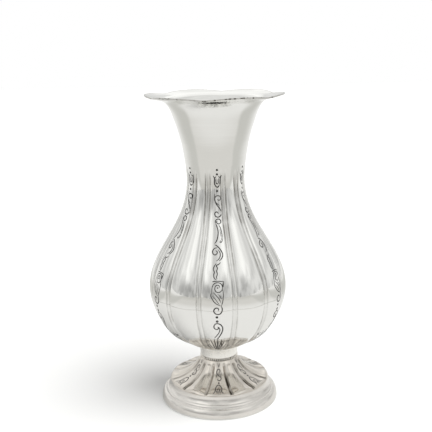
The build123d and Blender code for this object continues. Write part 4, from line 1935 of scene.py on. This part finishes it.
    def world(self) -> None:
        """Fills the room with soft light: white to the camera, with grey walls for the silver to mirror."""
        made = bpy.data.worlds.new("studio")
        bpy.context.scene.world = made
        made.use_nodes = True
        made.node_tree.nodes.clear()
        g = Graph(made.node_tree)
        aim = g.put("ShaderNodeTexCoord").outputs["Generated"]
        _, back, up = g.split(aim)
        path = g.put("ShaderNodeLightPath").outputs
        front = g.ramp(g.times(back, -1.0), *self.front_turn)
        level = g.plus(g.times(front, g.ramp(up, *self.front_wall)),
                       g.times(g.minus(1.0, front), g.ramp(up, *self.side_wall)))
        for bearing_deg, rise_deg, glow in self.windows:
            bearing, rise = math.radians(bearing_deg), math.radians(rise_deg)
            toward = (math.sin(bearing) * math.cos(rise), -math.cos(bearing) * math.cos(rise), math.sin(rise))
            facing = g.put("ShaderNodeVectorMath", {0: aim, 1: toward}, operation="DOT_PRODUCT")
            level = g.plus(level, g.times(g.ramp(facing.outputs["Value"], *self.window_edge), glow))
        clutter = g.ramp(g.noise(aim, scale=3.2, detail=2.0), *self.clutter)
        level = g.plus(level, g.times(clutter, g.ramp(up, *self.clutter_fade)))
        wall = g.join(level, level, g.times(level, self.wall_blue))
        room = g.put("ShaderNodeBackground", {"Color": wall, "Strength": 1.0})
        fill = g.put("ShaderNodeBackground", {"Color": WHITE, "Strength": self.fill_level})
        white = g.put("ShaderNodeBackground", {"Color": WHITE, "Strength": 1.0})
        lit = g.put("ShaderNodeMixShader", {0: path["Is Diffuse Ray"], 1: room, 2: fill})
        seen = g.put("ShaderNodeMixShader", {0: path["Is Camera Ray"], 1: lit, 2: white})
        g.put("ShaderNodeOutputWorld", {"Surface": seen})

    def key(self) -> None:
        """Hangs the soft key light to the right, a little to the front."""
        data = bpy.data.lights.new("key", "SUN")
        data.energy = self.key_level
        data.angle = math.radians(self.key_spread_deg)
        item = Workbench.add("key", data)
        item.rotation_euler = Vector(self.key_toward).to_track_quat("Z", "Y").to_euler()
        item.visible_glossy = False

    def build(self) -> None:
        """Sets up the whole studio."""
        self.camera()
        self.floor()
        self.world()
        self.key()
        bpy.context.scene.view_settings.view_transform = "Standard"


@dataclass
class Vase:
    """The whole vase: its finishes and sub-assemblies."""

    sheet: Silver = Silver("polished sheet silver", unpolished=DULL_SILVER)
    spun: Silver = Silver("spun neck silver", unpolished=DULL_SILVER, spin=0.4)
    # The foot's darker, warmer clean colour is a painted warm reflection; its rougher polish is its own.
    foot_sheet: Silver = Silver("rubbed foot silver", clean=(0.755, 0.71, 0.65), dark=(0.11, 0.095, 0.075),
                                polish=0.16, bloom=0.14, tarnish=1.35, hammer=9.0)
    wire: Silver = Silver("drawn silver wire", polish=0.10, hammer=6.0, wave=0.06, bloom=0.08)
    # The rim wire is a darker grey than the sheet, with dark spots.
    edge_wire: Silver = Silver("worn rim silver", clean=(0.61, 0.60, 0.575), dark=(0.06, 0.05, 0.036),
                               polish=0.2, hammer=6.0, wave=0.06, spots=1.0, spot_size=2.8)
    nicked: Silver = Silver("nicked silver wire", clean=(0.93, 0.90, 0.85), dark=(0.045, 0.038, 0.028),
                            polish=0.14, hammer=6.0, wave=0.06, tarnish=2.5)
    ring_sheet: Silver = Silver("handled ring silver", clean=(0.845, 0.818, 0.78), polish=0.17, hammer=5.0,
                                wave=0.07, bloom=0.2)
    satin: Silver = Silver("satin collar silver", clean=(0.965, 0.948, 0.905), polish=0.24, hammer=9.0,
                           wave=0.05)
    cut: ChasedCut = ChasedCut("chased line")
    body: Body = field(default_factory=Body)
    lip: Lip = field(default_factory=Lip)
    stem: Stem = field(default_factory=Stem)
    foot: Foot = field(default_factory=Foot)

    def build(self) -> None:
        """Builds and dresses every piece."""
        cut = self.cut.material()
        self.body.build(self.sheet.material(), cut)
        self.lip.build(self.spun.material(), self.edge_wire.material())
        self.stem.build(self.satin.material(), self.nicked.material())
        self.foot.build(self.ring_sheet.material(), self.foot_sheet.material(), self.wire.material(), cut)


def main() -> None:
    """Loads the frame, builds the vase on it and sets up the studio."""
    logging.basicConfig(level=logging.INFO, format="%(name)s: %(message)s")
    Workbench.clear()
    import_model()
    Vase().build()
    Studio().build()


if __name__ == "__main__":
    main()
